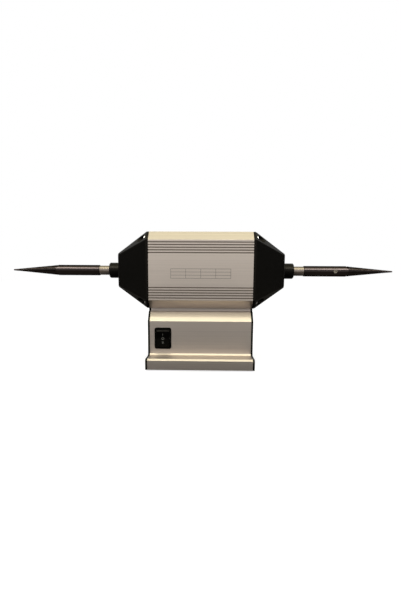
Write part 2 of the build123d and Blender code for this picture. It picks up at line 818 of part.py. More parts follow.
def bearing_ring(side, inner_radius, outer_radius):
    """Ring of a ball bearing with the ball groove turned into it."""
    with BuildPart() as bearing_piece:
        with BuildSketch(half_plane(side)):
            with Locations((bearing_middle_x, (inner_radius + outer_radius) / 2)):
                Rectangle(bearing_width, outer_radius - inner_radius)
            with Locations((bearing_middle_x, pitch_radius)):
                Circle(race_radius, mode=Mode.SUBTRACT)
        revolve(axis=shaft_axis)
    return bearing_piece.part


for side, hand in sides:
    with BuildPart() as outer_ring:
        add(bearing_ring(side, outer_land, bearing_diameter / 2))
    save(outer_ring, f"{hand}_bearing_outer_ring")
    with BuildPart(shaft_plane(side, bearing_middle_x)) as bearing_balls:
        with PolarLocations(pitch_radius, ball_count):
            Sphere(ball_diameter / 2)
    save(bearing_balls, f"{hand}_bearing_balls")
    with BuildPart(shaft_plane(side, bearing_middle_x)) as bearing_cage:
        Cylinder(pitch_radius + cage_thickness / 2, cage_width)
        Cylinder(pitch_radius - cage_thickness / 2, cage_width, mode=Mode.SUBTRACT)
        with PolarLocations(pitch_radius, ball_count):
            Cylinder(race_radius, ball_diameter, rotation=(0, 90, 0), mode=Mode.SUBTRACT)
    save(bearing_cage, f"{hand}_bearing_cage")

with BuildPart() as bearing_inner_rings:
    for side, hand in sides:
        add(bearing_ring(side, bearing_bore / 2, inner_land))
save(bearing_inner_rings, "bearing_inner_rings")

with BuildPart() as bearing_shields:
    for side, hand in sides:
        for end in (bearing_inner_x + shield_inset, bearing_outer_x - shield_inset - shield_thickness):
            add(ring(side, end, end + shield_thickness, inner_land + apart, outer_land - slip))
save(bearing_shields, "bearing_shields")

# Disc springs that load the outer rings towards the middle of the motor
with BuildPart() as preload_springs:
    rim = bearing_diameter / 2
    cone_rise = preload_height - preload_thickness
    disc_spring = [
        (bearing_outer_x, rim),
        (bearing_outer_x + preload_thickness, rim),
        (bearing_outer_x + preload_thickness + cone_rise, rim - preload_width),
        (bearing_outer_x + cone_rise, rim - preload_width),
    ]
    for side, hand in sides:
        add(turned(side, disc_spring))
save(preload_springs, "preload_springs")

# Shaft, turned with the same steps at both ends
spindle_seat_end = sleeve_x + spindle_seat_length
core_seat_half = joint_x - core_seat_from_joint
shaft_steps = [
    (core_seat_half, core_seat_diameter / 2),
    (core_seat_half, shoulder_diameter / 2),
    (bearing_inner_x, shoulder_diameter / 2),
    (bearing_inner_x, bearing_bore / 2 - slip),
    (bearing_outer_x + journal_spare, bearing_bore / 2 - slip),
    (bearing_outer_x + journal_spare, shaft_diameter / 2),
    (sleeve_x, shaft_diameter / 2),
    (sleeve_x, spindle_seat_diameter / 2),
    (spindle_seat_end - spindle_seat_chamfer, spindle_seat_diameter / 2),
    (spindle_seat_end, spindle_seat_diameter / 2 - spindle_seat_chamfer),
    (spindle_seat_end, 0),
]
with BuildPart() as rotor_shaft:
    add(turned(1, shaft_steps + [(-x, radius) for x, radius in reversed(shaft_steps)]))
save(rotor_shaft, "rotor_shaft")

# Armature: a slotted core, windings that fill its slots and bulge at both ends, a commutator
opening_start = slot_circle / 2
opening_length = core_diameter / 2 + overrun - opening_start
with BuildPart() as armature_core:
    with BuildSketch(shaft_plane(1, -core_length / 2)):
        Circle(core_diameter / 2)
        Circle(core_seat_diameter / 2 + slip, mode=Mode.SUBTRACT)
        with PolarLocations(slot_circle / 2, slot_count):
            Circle(slot_diameter / 2, mode=Mode.SUBTRACT)
        with PolarLocations(opening_start + opening_length / 2, slot_count):
            Rectangle(opening_length, slot_opening, mode=Mode.SUBTRACT)
    extrude(amount=core_length)
save(armature_core, "armature_core")

winding_thickness = (winding_outer_diameter - winding_inner_diameter) / 2
winding_round = winding_thickness * winding_round_share
with BuildPart() as armature_windings:
    with BuildSketch(shaft_plane(1, -winding_start - winding_overhang / 2)):
        with PolarLocations(slot_circle / 2, slot_count):
            Circle(slot_diameter / 2 - slot_liner)
    extrude(amount=2 * winding_start + winding_overhang)
    for side, hand in sides:
        with BuildSketch(half_plane(side)):
            middle = (winding_start + winding_end) / 2
            with Locations((middle, (winding_inner_diameter + winding_thickness) / 2)):
                RectangleRounded(winding_overhang, winding_thickness, winding_round)
        revolve(axis=shaft_axis)
save(armature_windings, "armature_windings")

with BuildPart() as commutator_hub:
    add(
        ring(
            1,
            commutator_start - commutator_hub_overhang,
            commutator_start + commutator_length + commutator_hub_overhang,
            core_seat_diameter / 2 + slip,
            commutator_hub_diameter / 2,
        )
    )
save(commutator_hub, "commutator_hub")

with BuildPart() as commutator_bars:
    with BuildSketch(shaft_plane(1, commutator_start)):
        Circle(commutator_diameter / 2)
        Circle(commutator_hub_diameter / 2, mode=Mode.SUBTRACT)
        with PolarLocations((commutator_diameter + commutator_hub_diameter) / 4, bar_count):
            Rectangle(commutator_diameter / 2, bar_gap, mode=Mode.SUBTRACT)
    extrude(amount=commutator_length)
save(commutator_bars, "commutator_bars")

# Field: a steel ring, two curved magnets above and below the armature, clips between them
clip_arc = 180 - magnet_arc

with BuildPart() as flux_ring:
    add(ring(1, -flux_ring_length / 2, flux_ring_length / 2, flux_inner, flux_outer))
save(flux_ring, "flux_ring")


def ring_sectors(length, inner_radius, outer_radius, arc, first_angle):
    """Two opposite sectors of a ring about the shaft, each with the given arc in degrees."""
    with BuildPart() as sectors:
        for turn in (0, 180):
            with BuildSketch(half_plane(1).rotated((first_angle + turn - arc / 2, 0, 0))):
                with Locations((0, (inner_radius + outer_radius) / 2)):
                    Rectangle(length, outer_radius - inner_radius)
            revolve(axis=shaft_axis, revolution_arc=arc)
    return sectors.part


with BuildPart() as field_magnets:
    add(ring_sectors(magnet_length, magnet_inner, magnet_outer, magnet_arc, 0))
save(field_magnets, "field_magnets")

with BuildPart() as magnet_clips:
    clip_inner = magnet_outer - magnet_thickness * clip_thickness_share
    add(ring_sectors(magnet_length, clip_inner, magnet_outer, clip_arc, 90))
save(magnet_clips, "magnet_clips")

# Brush gear: a plate on the right cap's spigot, two holders, sprung carbon brushes
with BuildPart() as brush_plate:
    with BuildSketch(shaft_plane(1, brush_plate_x)):
        Circle(brush_plate_radius)
        Circle(brush_plate_bore / 2, mode=Mode.SUBTRACT)
        with PolarLocations(brush_screw_circle, brush_plate_screw_count, start_angle=45):
            Circle(brush_plate_screw_diameter / 2, mode=Mode.SUBTRACT)
    extrude(amount=brush_plate_thickness)
save(brush_plate, "brush_plate")

with BuildPart() as brush_plate_screws:
    with Locations(shaft_plane(-1, -brush_plate_x)):
        with PolarLocations(brush_screw_circle, brush_plate_screw_count, start_angle=45):
            add(
                pan_screw(
                    brush_plate_screw_head,
                    brush_plate_screw_head_height,
                    brush_plate_screw_diameter,
                    brush_plate_screw_length,
                )
            )
save(brush_plate_screws, "brush_plate_screws")

brush_room_x = brush_thickness + 2 * brush_slack
brush_room_y = brush_width + 2 * brush_slack
brush_levels = ((1, "upper"), (-1, "lower"))

with BuildPart() as brush_holders:
    holder_end = holder_far + holder_wall
    for level, name in brush_levels:
        with Locations((holder_middle_x, 0, axis_z + level * (holder_near + holder_end) / 2)):
            Box(brush_room_x + 2 * holder_wall, brush_room_y + 2 * holder_wall, holder_end - holder_near)
        with Locations((holder_middle_x, 0, axis_z + level * holder_far / 2)):
            Box(brush_room_x, brush_room_y, holder_far, mode=Mode.SUBTRACT)
save(brush_holders, "brush_holders")

spring_run = brush_spring_room - brush_spring_wire - 2 * brush_spring_end_gap
for level, name in brush_levels:
    with BuildPart() as brush:
        with Locations((holder_middle_x, 0, axis_z + level * brush_back / 2)):
            Box(brush_thickness, brush_width, brush_back)
        with Locations((holder_middle_x, 0, axis_z)):
            Cylinder(brush_face, brush_thickness + overrun, rotation=(0, 90, 0), mode=Mode.SUBTRACT)
    save(brush, f"{name}_brush")
    coil_start = brush_back + brush_spring_end_gap + brush_spring_wire / 2
    with BuildPart() as brush_spring:
        with BuildLine() as coil:
            Helix(
                spring_run / brush_spring_turns,
                spring_run,
                (brush_spring_diameter - brush_spring_wire) / 2,
                center=(holder_middle_x, 0, axis_z + level * coil_start),
                direction=(0, 0, level),
            )
        with BuildSketch(Plane(origin=coil.line @ 0, z_dir=coil.line % 0)):
            Circle(brush_spring_wire / 2)
        sweep()
    save(brush_spring, f"{name}_brush_spring")

# Taper spindles: a sleeve on the shaft and a cone for felt cones and buffs. Rings of the thread's
# pitch and depth stand for the cone's screw thread.
cone_slope = (cone_base_diameter - cone_tip_diameter) / 2 / cone_length
thread_count = int(cone_length / thread_pitch) - 1
spindle_outline = [
    (sleeve_x, spindle_seat_diameter / 2 + slip),
    (sleeve_x, sleeve_diameter / 2 - sleeve_chamfer),
    (sleeve_x + sleeve_chamfer, sleeve_diameter / 2),
    (cone_x - relief_width, sleeve_diameter / 2),
    (cone_x - relief_width, sleeve_diameter / 2 - relief_depth),
    (cone_x, sleeve_diameter / 2 - relief_depth),
    (cone_x, cone_base_diameter / 2),
]
for turn in range(thread_count):
    crest_x = cone_x + (turn + 1) * thread_pitch
    crest_radius = cone_base_diameter / 2 - cone_slope * (crest_x - cone_x)
    spindle_outline += [
        (crest_x - thread_pitch / 2, crest_radius + cone_slope * thread_pitch / 2 - thread_depth),
        (crest_x, crest_radius),
    ]
spindle_outline += [
    (tip_x, cone_tip_diameter / 2),
    (tip_x, 0),
    (spindle_seat_end + sleeve_bore_spare, 0),
    (spindle_seat_end + sleeve_bore_spare, spindle_seat_diameter / 2 + slip),
]
set_screw_x = cone_x - set_screw_from_end
set_screw_length = sleeve_diameter / 2 - spindle_seat_diameter / 2 - set_screw_sink

set_screw_planes = []
for side, hand in sides:
    facing = Plane((side * set_screw_x, 0, axis_z), x_dir=(1, 0, 0), z_dir=(0, -side, 0))
    set_screw_planes.append(facing.offset(spindle_seat_diameter / 2))
    with BuildPart() as spindle:
        add(turned(side, spindle_outline))
        with BuildSketch(facing):
            Circle(set_screw_diameter / 2)
        extrude(amount=sleeve_diameter, mode=Mode.SUBTRACT)
    save(spindle, f"{hand}_spindle")

with BuildPart() as spindle_set_screws:
    for seat in set_screw_planes:
        with BuildSketch(seat):
            Circle(set_screw_diameter / 2 - slip)
        extrude(amount=set_screw_length)
        with BuildSketch(seat.offset(set_screw_length)):
            RegularPolygon(set_screw_key / 2, 6, major_radius=False)
        extrude(amount=-set_screw_key_depth, mode=Mode.SUBTRACT)
save(spindle_set_screws, "spindle_set_screws")

# Rocker switch: a snap-in body with its bezel, a pivot pin, the rocker and six blade terminals
rocker_room_width = rocker_width + 2 * apart
rocker_room_height = 2 * (rocker_radius + apart)
pivot_axis_plane = Plane((switch_x, pivot_y, switch_z), x_dir=(0, -1, 0), z_dir=(-1, 0, 0))

with BuildPart() as switch_body:
    with BuildSketch(switch_plane):
        RectangleRounded(bezel_width, bezel_height, bezel_corner)
    extrude(amount=bezel_thickness)
    bezel_rim = switch_body.faces().sort_by(Axis.Y)[0].edges()
    fillet(bezel_rim, bezel_thickness * head_round_share)
    with BuildSketch(switch_plane):
        Rectangle(switch_body_width, switch_body_height)
    extrude(amount=-switch_body_depth)
    with BuildSketch(switch_plane.offset(-stand_wall)):
        for end in (-1, 1):
            with Locations((0, end * (switch_body_height + switch_tab_height) / 2)):
                Rectangle(switch_tab_width, switch_tab_height)
    extrude(amount=-switch_tab_length)
    with BuildSketch(switch_plane.offset(bezel_thickness)):
        Rectangle(rocker_room_width, rocker_room_height)
    extrude(amount=-(bezel_thickness + switch_body_depth - switch_floor), mode=Mode.SUBTRACT)
    with BuildSketch(pivot_axis_plane):
        Circle(pivot_pin_diameter / 2 + slip)
    extrude(amount=switch_body_width, both=True, mode=Mode.SUBTRACT)
save(switch_body, "switch_body")

with BuildPart() as switch_pivot_pin:
    with BuildSketch(pivot_axis_plane):
        Circle(pivot_pin_diameter / 2)
    extrude(amount=switch_body_width / 2, both=True)
save(switch_pivot_pin, "switch_pivot_pin")

rocker_edge_half = (rocker_radius**2 - rocker_edge_reach**2) ** 0.5
rocker_back_half = (rocker_radius**2 - rocker_back_reach**2) ** 0.5
with BuildPart() as switch_rocker:
    with BuildSketch(pivot_axis_plane):
        with BuildLine():
            Polyline(
                (rocker_edge_reach, rocker_edge_half),
                (rocker_middle_reach, 0),
                (rocker_edge_reach, -rocker_edge_half),
            )
            ThreePointArc(
                (rocker_edge_reach, -rocker_edge_half),
                (0, -rocker_radius),
                (-rocker_back_reach, -rocker_back_half),
            )
            Line((-rocker_back_reach, -rocker_back_half), (-rocker_back_reach, rocker_back_half))
            ThreePointArc(
                (-rocker_back_reach, rocker_back_half),
                (0, rocker_radius),
                (rocker_edge_reach, rocker_edge_half),
            )
        make_face()
        Circle(pivot_pin_diameter / 2 + running, mode=Mode.SUBTRACT)
    extrude(amount=rocker_width / 2, both=True)
    rocker_lips = switch_rocker.edges().filter_by(Axis.X).sort_by(Axis.Y)[:2]
    fillet(rocker_lips, rocker_fillet)
save(switch_rocker, "switch_rocker")

with BuildPart() as switch_terminals:
    with BuildSketch(switch_plane.offset(-switch_body_depth)):
        with GridLocations(terminal_spacing_x, terminal_spacing_z, 2, terminal_rows):
            Rectangle(terminal_thickness, terminal_width)
    extrude(amount=-terminal_length)
save(switch_terminals, "switch_terminals")

# Mains inlet: a flanged socket with three pins, screwed to the back of the stand
socket_bottom = -inlet_socket_height / 2
socket_half = inlet_socket_width / 2
inlet_screw_planes = [
    Plane(
        (inlet_x + end * inlet_screw_spacing / 2, panel_half_depth + inlet_flange_thickness, inlet_z),
        x_dir=(-1, 0, 0),
        z_dir=(0, 1, 0),
    )
    for end in (-1, 1)
]
inlet_pin_places = [
    (-inlet_pin_spacing / 2, -inlet_pin_drop),
    (inlet_pin_spacing / 2, -inlet_pin_drop),
    (0, inlet_earth_rise),
]
inlet_pin_length = inlet_socket_depth - inlet_pin_sink
socket_floor = inlet_plane.offset(inlet_flange_thickness - inlet_socket_depth)

with BuildPart() as mains_inlet:
    with BuildSketch(inlet_plane):
        RectangleRounded(inlet_flange_width, inlet_flange_height, inlet_flange_corner)
    extrude(amount=inlet_flange_thickness)
    with BuildSketch(inlet_plane):
        RectangleRounded(inlet_body_width, inlet_body_height, inlet_body_corner)
    extrude(amount=-inlet_body_depth)
    with BuildSketch(socket_floor):
        with BuildLine():
            Polyline(
                (-socket_half, socket_bottom),
                (socket_half, socket_bottom),
                (socket_half, -socket_bottom - inlet_socket_cut),
                (socket_half - inlet_socket_cut, -socket_bottom),
                (-socket_half + inlet_socket_cut, -socket_bottom),
                (-socket_half, -socket_bottom - inlet_socket_cut),
                close=True,
            )
        make_face()
    extrude(amount=inlet_socket_depth, mode=Mode.SUBTRACT)
    with BuildSketch(socket_floor):
        with Locations(*inlet_pin_places):
            Rectangle(inlet_pin_thickness, inlet_pin_height)
    extrude(amount=-inlet_body_depth, mode=Mode.SUBTRACT)
    with Locations(*inlet_screw_planes):
        CounterSinkHole(inlet_screw_diameter / 2, inlet_screw_head / 2, counter_sink_angle=90)
save(mains_inlet, "mains_inlet")

inlet_back = inlet_plane.offset(-inlet_body_depth)
inlet_pin_root = inlet_body_depth + inlet_flange_thickness - inlet_socket_depth
with BuildPart() as inlet_pins:
    with BuildSketch(inlet_back):
        with Locations(*inlet_pin_places):
            Rectangle(inlet_pin_thickness, inlet_pin_height)
    extrude(amount=inlet_pin_root + inlet_pin_length)
    with BuildSketch(inlet_back):
        with Locations(*inlet_pin_places):
            Rectangle(inlet_tab_thickness, inlet_pin_height)
    extrude(amount=-inlet_tab_length)
save(inlet_pins, "inlet_pins")

with BuildPart() as inlet_fasteners:
    with Locations(*inlet_screw_planes):
        add(countersunk_screw(inlet_screw_head, inlet_screw_diameter, inlet_screw_length))
    with BuildSketch(inlet_plane.offset(-stand_wall)):
        with GridLocations(inlet_screw_spacing, 0, 2, 1):
            RegularPolygon(inlet_nut_size / 2, 6, major_radius=False)
            Circle(inlet_screw_diameter / 2, mode=Mode.SUBTRACT)
    extrude(amount=-inlet_nut_height)
save(inlet_fasteners, "inlet_fasteners")

# Control board: a rectifier, a suppressor capacitor and two terminal blocks, on four standoffs
with BuildPart() as control_board:
    with BuildSketch(Plane.XY.offset(plate_top + standoff_height)):
        with Locations((board_x, board_y)):
            Rectangle(board_length, board_width)
        with Locations(*standoff_places):
            Circle(board_screw_diameter / 2, mode=Mode.SUBTRACT)
    extrude(amount=board_thickness)
save(control_board, "control_board")

with BuildPart() as board_standoffs:
    with BuildSketch(Plane.XY.offset(plate_top)):
        with Locations(*standoff_places):
            Circle(standoff_diameter / 2)
    extrude(amount=standoff_height)
    with BuildSketch(Plane.XY.offset(stand_bottom)):
        with Locations(*standoff_places):
            Circle(standoff_stud_diameter / 2)
    extrude(amount=bottom_plate_thickness)
    with BuildSketch(Plane.XY.offset(plate_top + standoff_height)):
        with Locations(*standoff_places):
            Circle(board_screw_diameter / 2)
    extrude(amount=-(board_screw_length - board_thickness + slip), mode=Mode.SUBTRACT)
save(board_standoffs, "board_standoffs")

with BuildPart() as board_screws:
    with Locations(*[(x, y, board_top) for x, y in standoff_places]):
        add(pan_screw(board_screw_head, board_screw_head_height, board_screw_diameter, board_screw_length))
save(board_screws, "board_screws")

with BuildPart() as terminal_blocks:
    with Locations((grommet_x, 0, board_top), (supply_block_x, 0, board_top)):
        Box(terminal_block_length, terminal_block_width, terminal_block_height, align=stand_on)
    chamfer(
        terminal_blocks.edges().filter_by(Axis.Y).group_by(Axis.Z)[-1],
        terminal_block_chamfer,
    )
save(terminal_blocks, "terminal_blocks")

with BuildPart() as bridge_rectifier:
    with BuildSketch(Plane.XY.offset(board_top)):
        with Locations((rectifier_x, board_y)):
            RectangleRounded(rectifier_side, rectifier_side, rectifier_corner)
            Circle(rectifier_hole / 2, mode=Mode.SUBTRACT)
    extrude(amount=rectifier_height)
save(bridge_rectifier, "bridge_rectifier")

with BuildPart() as suppressor_capacitor:
    with Locations((capacitor_x, board_y, board_top)):
        Box(capacitor_length, capacitor_width, capacitor_height, align=stand_on)
    fillet(suppressor_capacitor.edges().filter_by(Axis.Z), capacitor_round)
save(suppressor_capacitor, "suppressor_capacitor")


# Leads inside the stand and the motor: straight runs joined by round bends
def lead(points, bend):
    """Insulated lead through the given points."""
    with BuildPart() as wire:
        with BuildLine() as route:
            FilletPolyline(*points, radius=bend)
        with BuildSketch(Plane(origin=route.line @ 0, z_dir=route.line % 0)):
            Circle(lead_diameter / 2)
        sweep()
    return wire.part


lead_height = axis_z - brush_plate_radius + lead_plate_margin
with BuildPart() as motor_leads:
    for end in (-1, 1):
        y = end * lead_pair_half
        add(
            lead(
                [(grommet_x, y, block_top), (grommet_x, y, lead_height), (brush_plate_x, y, lead_height)],
                lead_bend,
            )
        )
save(motor_leads, "motor_leads")

blade_y = -panel_half_depth + switch_body_depth + terminal_length
with BuildPart() as supply_leads:
    for end in (-1, 1):
        tab_x = inlet_x + end * inlet_pin_spacing / 2
        blade_x = switch_x + end * terminal_spacing_x / 2
        tab_z = inlet_z - inlet_pin_drop
        add(
            lead(
                [
                    (tab_x, tab_y, tab_z),
                    (tab_x, tab_y - supply_lead_run, tab_z),
                    (blade_x, blade_y + supply_lead_run, switch_z),
                    (blade_x, blade_y, switch_z),
                ],
                lead_sweep,
            )
        )
        row_z = switch_z + end * terminal_spacing_z
        block_y = end * terminal_block_width / 4
        outer_blade_x = switch_x + terminal_spacing_x / 2
        add(
            lead(
                [
                    (outer_blade_x, blade_y, row_z),
                    (outer_blade_x, block_y, row_z),
                    (supply_block_x, block_y, row_z),
                    (supply_block_x, block_y, block_top),
                ],
                lead_bend,
            )
        )
save(supply_leads, "supply_leads")

with BuildPart() as earth_lead:
    earth_z = inlet_z + inlet_earth_rise
    add(
        lead(
            [
                (inlet_x, tab_y, earth_z),
                (inlet_x, earth_y, earth_z),
                (inlet_x, earth_y, plate_top),
            ],
            lead_bend,
        )
    )
save(earth_lead, "earth_lead")
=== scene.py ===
# %% [markdown]
# # Dressing a polishing motor
# The object is a bench polishing motor: a square aluminium motor on a hollow stand, with a
# screw-threaded taper at each end of its shaft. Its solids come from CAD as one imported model.
# This lesson adds what the solids lack: brushed metal, satin black castings, a true screw
# thread, switch marks, a ruled rating plate and a studio to see them in. Everything is in
# metres and in the CAD's own frame, so no piece has to be fitted by eye.

import math

import bmesh
import bpy
from mathutils import Matrix, Vector


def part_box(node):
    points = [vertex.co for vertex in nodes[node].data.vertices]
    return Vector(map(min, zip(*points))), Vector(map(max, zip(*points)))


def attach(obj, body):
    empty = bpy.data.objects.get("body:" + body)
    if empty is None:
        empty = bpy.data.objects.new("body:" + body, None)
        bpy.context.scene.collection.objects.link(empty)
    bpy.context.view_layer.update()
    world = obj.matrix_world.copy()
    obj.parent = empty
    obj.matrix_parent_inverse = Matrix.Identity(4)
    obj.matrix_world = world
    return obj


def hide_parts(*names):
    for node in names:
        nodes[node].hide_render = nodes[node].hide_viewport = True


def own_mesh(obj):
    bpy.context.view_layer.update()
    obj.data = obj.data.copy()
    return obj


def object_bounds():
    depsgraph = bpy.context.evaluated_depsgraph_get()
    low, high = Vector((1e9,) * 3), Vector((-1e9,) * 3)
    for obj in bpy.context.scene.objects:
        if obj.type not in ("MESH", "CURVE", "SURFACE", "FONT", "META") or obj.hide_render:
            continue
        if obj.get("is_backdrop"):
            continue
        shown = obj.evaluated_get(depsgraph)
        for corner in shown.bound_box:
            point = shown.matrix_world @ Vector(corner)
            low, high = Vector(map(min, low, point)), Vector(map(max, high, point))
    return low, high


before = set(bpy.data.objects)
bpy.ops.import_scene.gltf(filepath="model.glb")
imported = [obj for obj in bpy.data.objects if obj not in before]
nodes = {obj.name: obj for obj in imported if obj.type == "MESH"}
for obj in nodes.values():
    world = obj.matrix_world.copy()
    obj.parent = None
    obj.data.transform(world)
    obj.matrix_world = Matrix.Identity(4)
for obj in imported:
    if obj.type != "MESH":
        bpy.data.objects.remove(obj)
cad_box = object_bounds()
print("size in mm:", [round(1000 * side, 1) for side in cad_box[1] - cad_box[0]])

for leftover in ("Cube", "Light", "Camera"):
    if leftover in bpy.data.objects:
        bpy.data.objects.remove(bpy.data.objects[leftover])

# %% [markdown]
# ## The camera
# The photograph was taken from a little above the stand, about two thirds of a metre away, with
# a wide lens. A camera can be placed by hand, but here its place and tilt were fitted to the
# edges of the object, so they are written as an eye point and three angles. The three
# directions of the view become the columns of the camera's matrix.

# %% Camera
IMAGE_HEIGHT = 601
FOCAL_LENGTH_IN_PIXELS = 407.55
SENSOR_MM = 36.0
eye = Vector((0.0080, -0.6587, 0.1384))
pitch, yaw, roll = (math.radians(angle) for angle in (7.82, -1.25, 0.31))

view_line = Vector((
    math.sin(yaw) * math.cos(pitch),
    math.cos(yaw) * math.cos(pitch),
    -math.sin(pitch),
))
level = Vector((math.cos(yaw), -math.sin(yaw), 0))
upright = level.cross(view_line)
view_right = math.cos(roll) * level + math.sin(roll) * upright
view_up = math.cos(roll) * upright - math.sin(roll) * level
turned = Matrix((view_right, view_up, -view_line)).transposed().to_4x4()

lens = bpy.data.cameras.new("photo_camera")
lens.sensor_width = SENSOR_MM
lens.lens = FOCAL_LENGTH_IN_PIXELS * SENSOR_MM / IMAGE_HEIGHT
lens.shift_x = 0.0060
lens.shift_y = 0.0497
camera = bpy.data.objects.new("photo_camera", lens)
camera.matrix_world = Matrix.Translation(eye) @ turned
bpy.context.scene.collection.objects.link(camera)
bpy.context.scene.camera = camera
bpy.context.scene.view_settings.view_transform = "Standard"
print("lens", round(lens.lens, 2), "mm at", [round(c, 3) for c in eye])

# %% [markdown]
# ## The white surround
# The picture has a white background. More light would also burn out the metal, so the white
# comes from the Light Path node instead: rays from the camera, and rays that a mirror or glass
# sends on, meet a world of strength 1, while matt surfaces are lit by a plain grey one.


# %% World
def seen_directly(tree):
    """Output that is 1 for camera, mirror and glass rays, and 0 for light on matt surfaces."""
    path = tree.nodes.new("ShaderNodeLightPath")
    total = path.outputs["Is Camera Ray"]
    for kind in ("Is Glossy Ray", "Is Transmission Ray"):
        add = tree.nodes.new("ShaderNodeMath")
        add.operation = "ADD"
        add.use_clamp = True
        tree.links.new(total, add.inputs[0])
        tree.links.new(path.outputs[kind], add.inputs[1])
        total = add.outputs["Value"]
    return total


AMBIENT = 0.55
world = bpy.data.worlds.new("studio")
world.use_nodes = True
tree = world.node_tree
ambient = tree.nodes["Background"]
ambient.inputs["Color"].default_value = (1, 1, 1, 1)
ambient.inputs["Strength"].default_value = AMBIENT
white = tree.nodes.new("ShaderNodeBackground")
white.inputs["Color"].default_value = (1, 1, 1, 1)
choose = tree.nodes.new("ShaderNodeMixShader")
tree.links.new(seen_directly(tree), choose.inputs["Fac"])
tree.links.new(ambient.outputs["Background"], choose.inputs[1])
tree.links.new(white.outputs["Background"], choose.inputs[2])
tree.links.new(choose.outputs["Shader"], tree.nodes["World Output"].inputs["Surface"])
bpy.context.scene.world = world
print("ambient light", AMBIENT)

# %% [markdown]
# ## The floor
# The stand sits on a white table top. Its paint is pale, and a glow added for direct rays only
# lifts it to white, so the soft shadow under the stand stays. A white paint alone would need
# more light, and that would burn out the metal.


# %% Floor
def to_object(work, name):
    """A new object in the scene, with the mesh that was built as a bmesh."""
    mesh = bpy.data.meshes.new(name)
    work.to_mesh(mesh)
    work.free()
    made = bpy.data.objects.new(name, mesh)
    bpy.context.scene.collection.objects.link(made)
    return made


def flat_sheet(name, half_width, half_depth, height):
    """A level sheet, cut into an 8 by 8 grid of faces."""
    work = bmesh.new()
    bmesh.ops.create_grid(work, x_segments=8, y_segments=8, size=1)
    bmesh.ops.scale(work, verts=work.verts, vec=(half_width, half_depth, 1))
    bmesh.ops.translate(work, verts=work.verts, vec=(0, 0, height))
    sheet = to_object(work, name)
    sheet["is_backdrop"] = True
    return sheet


def new_material(name):
    """A new node material and its shader."""
    material = bpy.data.materials.new(name)
    material.use_nodes = True
    return material, material.node_tree.nodes["Principled BSDF"]


FLOOR_GREY = (0.42, 0.42, 0.42, 1)
FLOOR_GLOW = 0.80
floor = flat_sheet("floor", half_width=6.0, half_depth=6.0, height=-0.0002)
paint, shader = new_material("white_table_top")
shader.inputs["Base Color"].default_value = FLOOR_GREY
shader.inputs["Roughness"].default_value = 0.9
shader.inputs["Specular IOR Level"].default_value = 0.0
shader.inputs["Emission Color"].default_value = (1, 1, 1, 1)
tree = paint.node_tree
glow = tree.nodes.new("ShaderNodeMath")
glow.operation = "MULTIPLY"
glow.inputs[1].default_value = FLOOR_GLOW
tree.links.new(seen_directly(tree), glow.inputs[0])
tree.links.new(glow.outputs["Value"], shader.inputs["Emission Strength"])
floor.data.materials.append(paint)
print("floor glow", FLOOR_GLOW)

# %% [markdown]
# ## The dark mat
# Photographers lay a dark mat in front of bright metal, because a mirror that sees only white
# looks like paper. The mat here is seen by mirror rays alone and is a little wider than the
# motor. It is black under the stand and slightly paler farther out, so upright faces shade
# gently from top to bottom. A colour ramp on the distance from the middle holds the shades.


# %% Dark mat
def glowing(name):
    """A material of plain light, with its emission node."""
    material, _ = new_material(name)
    tree = material.node_tree
    emission = tree.nodes.new("ShaderNodeEmission")
    tree.links.new(emission.outputs["Emission"], tree.nodes["Material Output"].inputs["Surface"])
    return material, emission


def mirror_rays_only(sheet):
    """Hide a sheet from all rays but those that a mirror sends on."""
    for kind in ("camera", "diffuse", "transmission", "volume_scatter", "shadow"):
        setattr(sheet, f"visible_{kind}", False)


# The shades are a painted reflection of the table: black where the stand shades it, a paler pool of light
# just beyond, dim farther out.
MAT_SHADES = {0.16: 0.0, 0.20: 0.12, 0.26: 0.12, 0.36: 0.03, 0.65: 0.0, 1.0: 0.03}
mat = flat_sheet("dark_mat", half_width=0.20, half_depth=2.0, height=0.0004)
mat_glow, emission = glowing("dark_mat")
tree = mat_glow.node_tree
place = tree.nodes.new("ShaderNodeTexCoord")
distance = tree.nodes.new("ShaderNodeVectorMath")
distance.operation = "LENGTH"
pool = tree.nodes.new("ShaderNodeValToRGB")
while len(pool.color_ramp.elements) < len(MAT_SHADES):
    pool.color_ramp.elements.new(1.0)
for stop, (reach, shade) in zip(pool.color_ramp.elements, MAT_SHADES.items()):
    stop.position = reach
    stop.color = (shade, shade, shade, 1)
tree.links.new(place.outputs["Object"], distance.inputs[0])
tree.links.new(distance.outputs["Value"], pool.inputs["Fac"])
tree.links.new(pool.outputs["Color"], emission.inputs["Color"])
mat.data.materials.append(mat_glow)
mirror_rays_only(mat)
print("mat shades", list(MAT_SHADES.values()))

# %% [markdown]
# ## Sheets and cards for the mirrors
# A grey mat shows on either side of the dark one, for the undersides of the spindles. A warm sheet
# overhead gives the top bevel of the housing its cream tone. Two dark cards stand left and right,
# so that the black castings look black from the front and keep their sheen elsewhere. Lamps
# would light everything, so these are plain sheets, and mirror rays alone see them.


# %% Sheets and cards
def even_sheet(name, half_width, half_depth, height, color):
    """A level sheet of one brightness that shows only in mirrors."""
    sheet = flat_sheet(name, half_width, half_depth, height)
    material, emission = glowing(name)
    emission.inputs["Color"].default_value = (*color, 1)
    sheet.data.materials.append(material)
    mirror_rays_only(sheet)
    return sheet


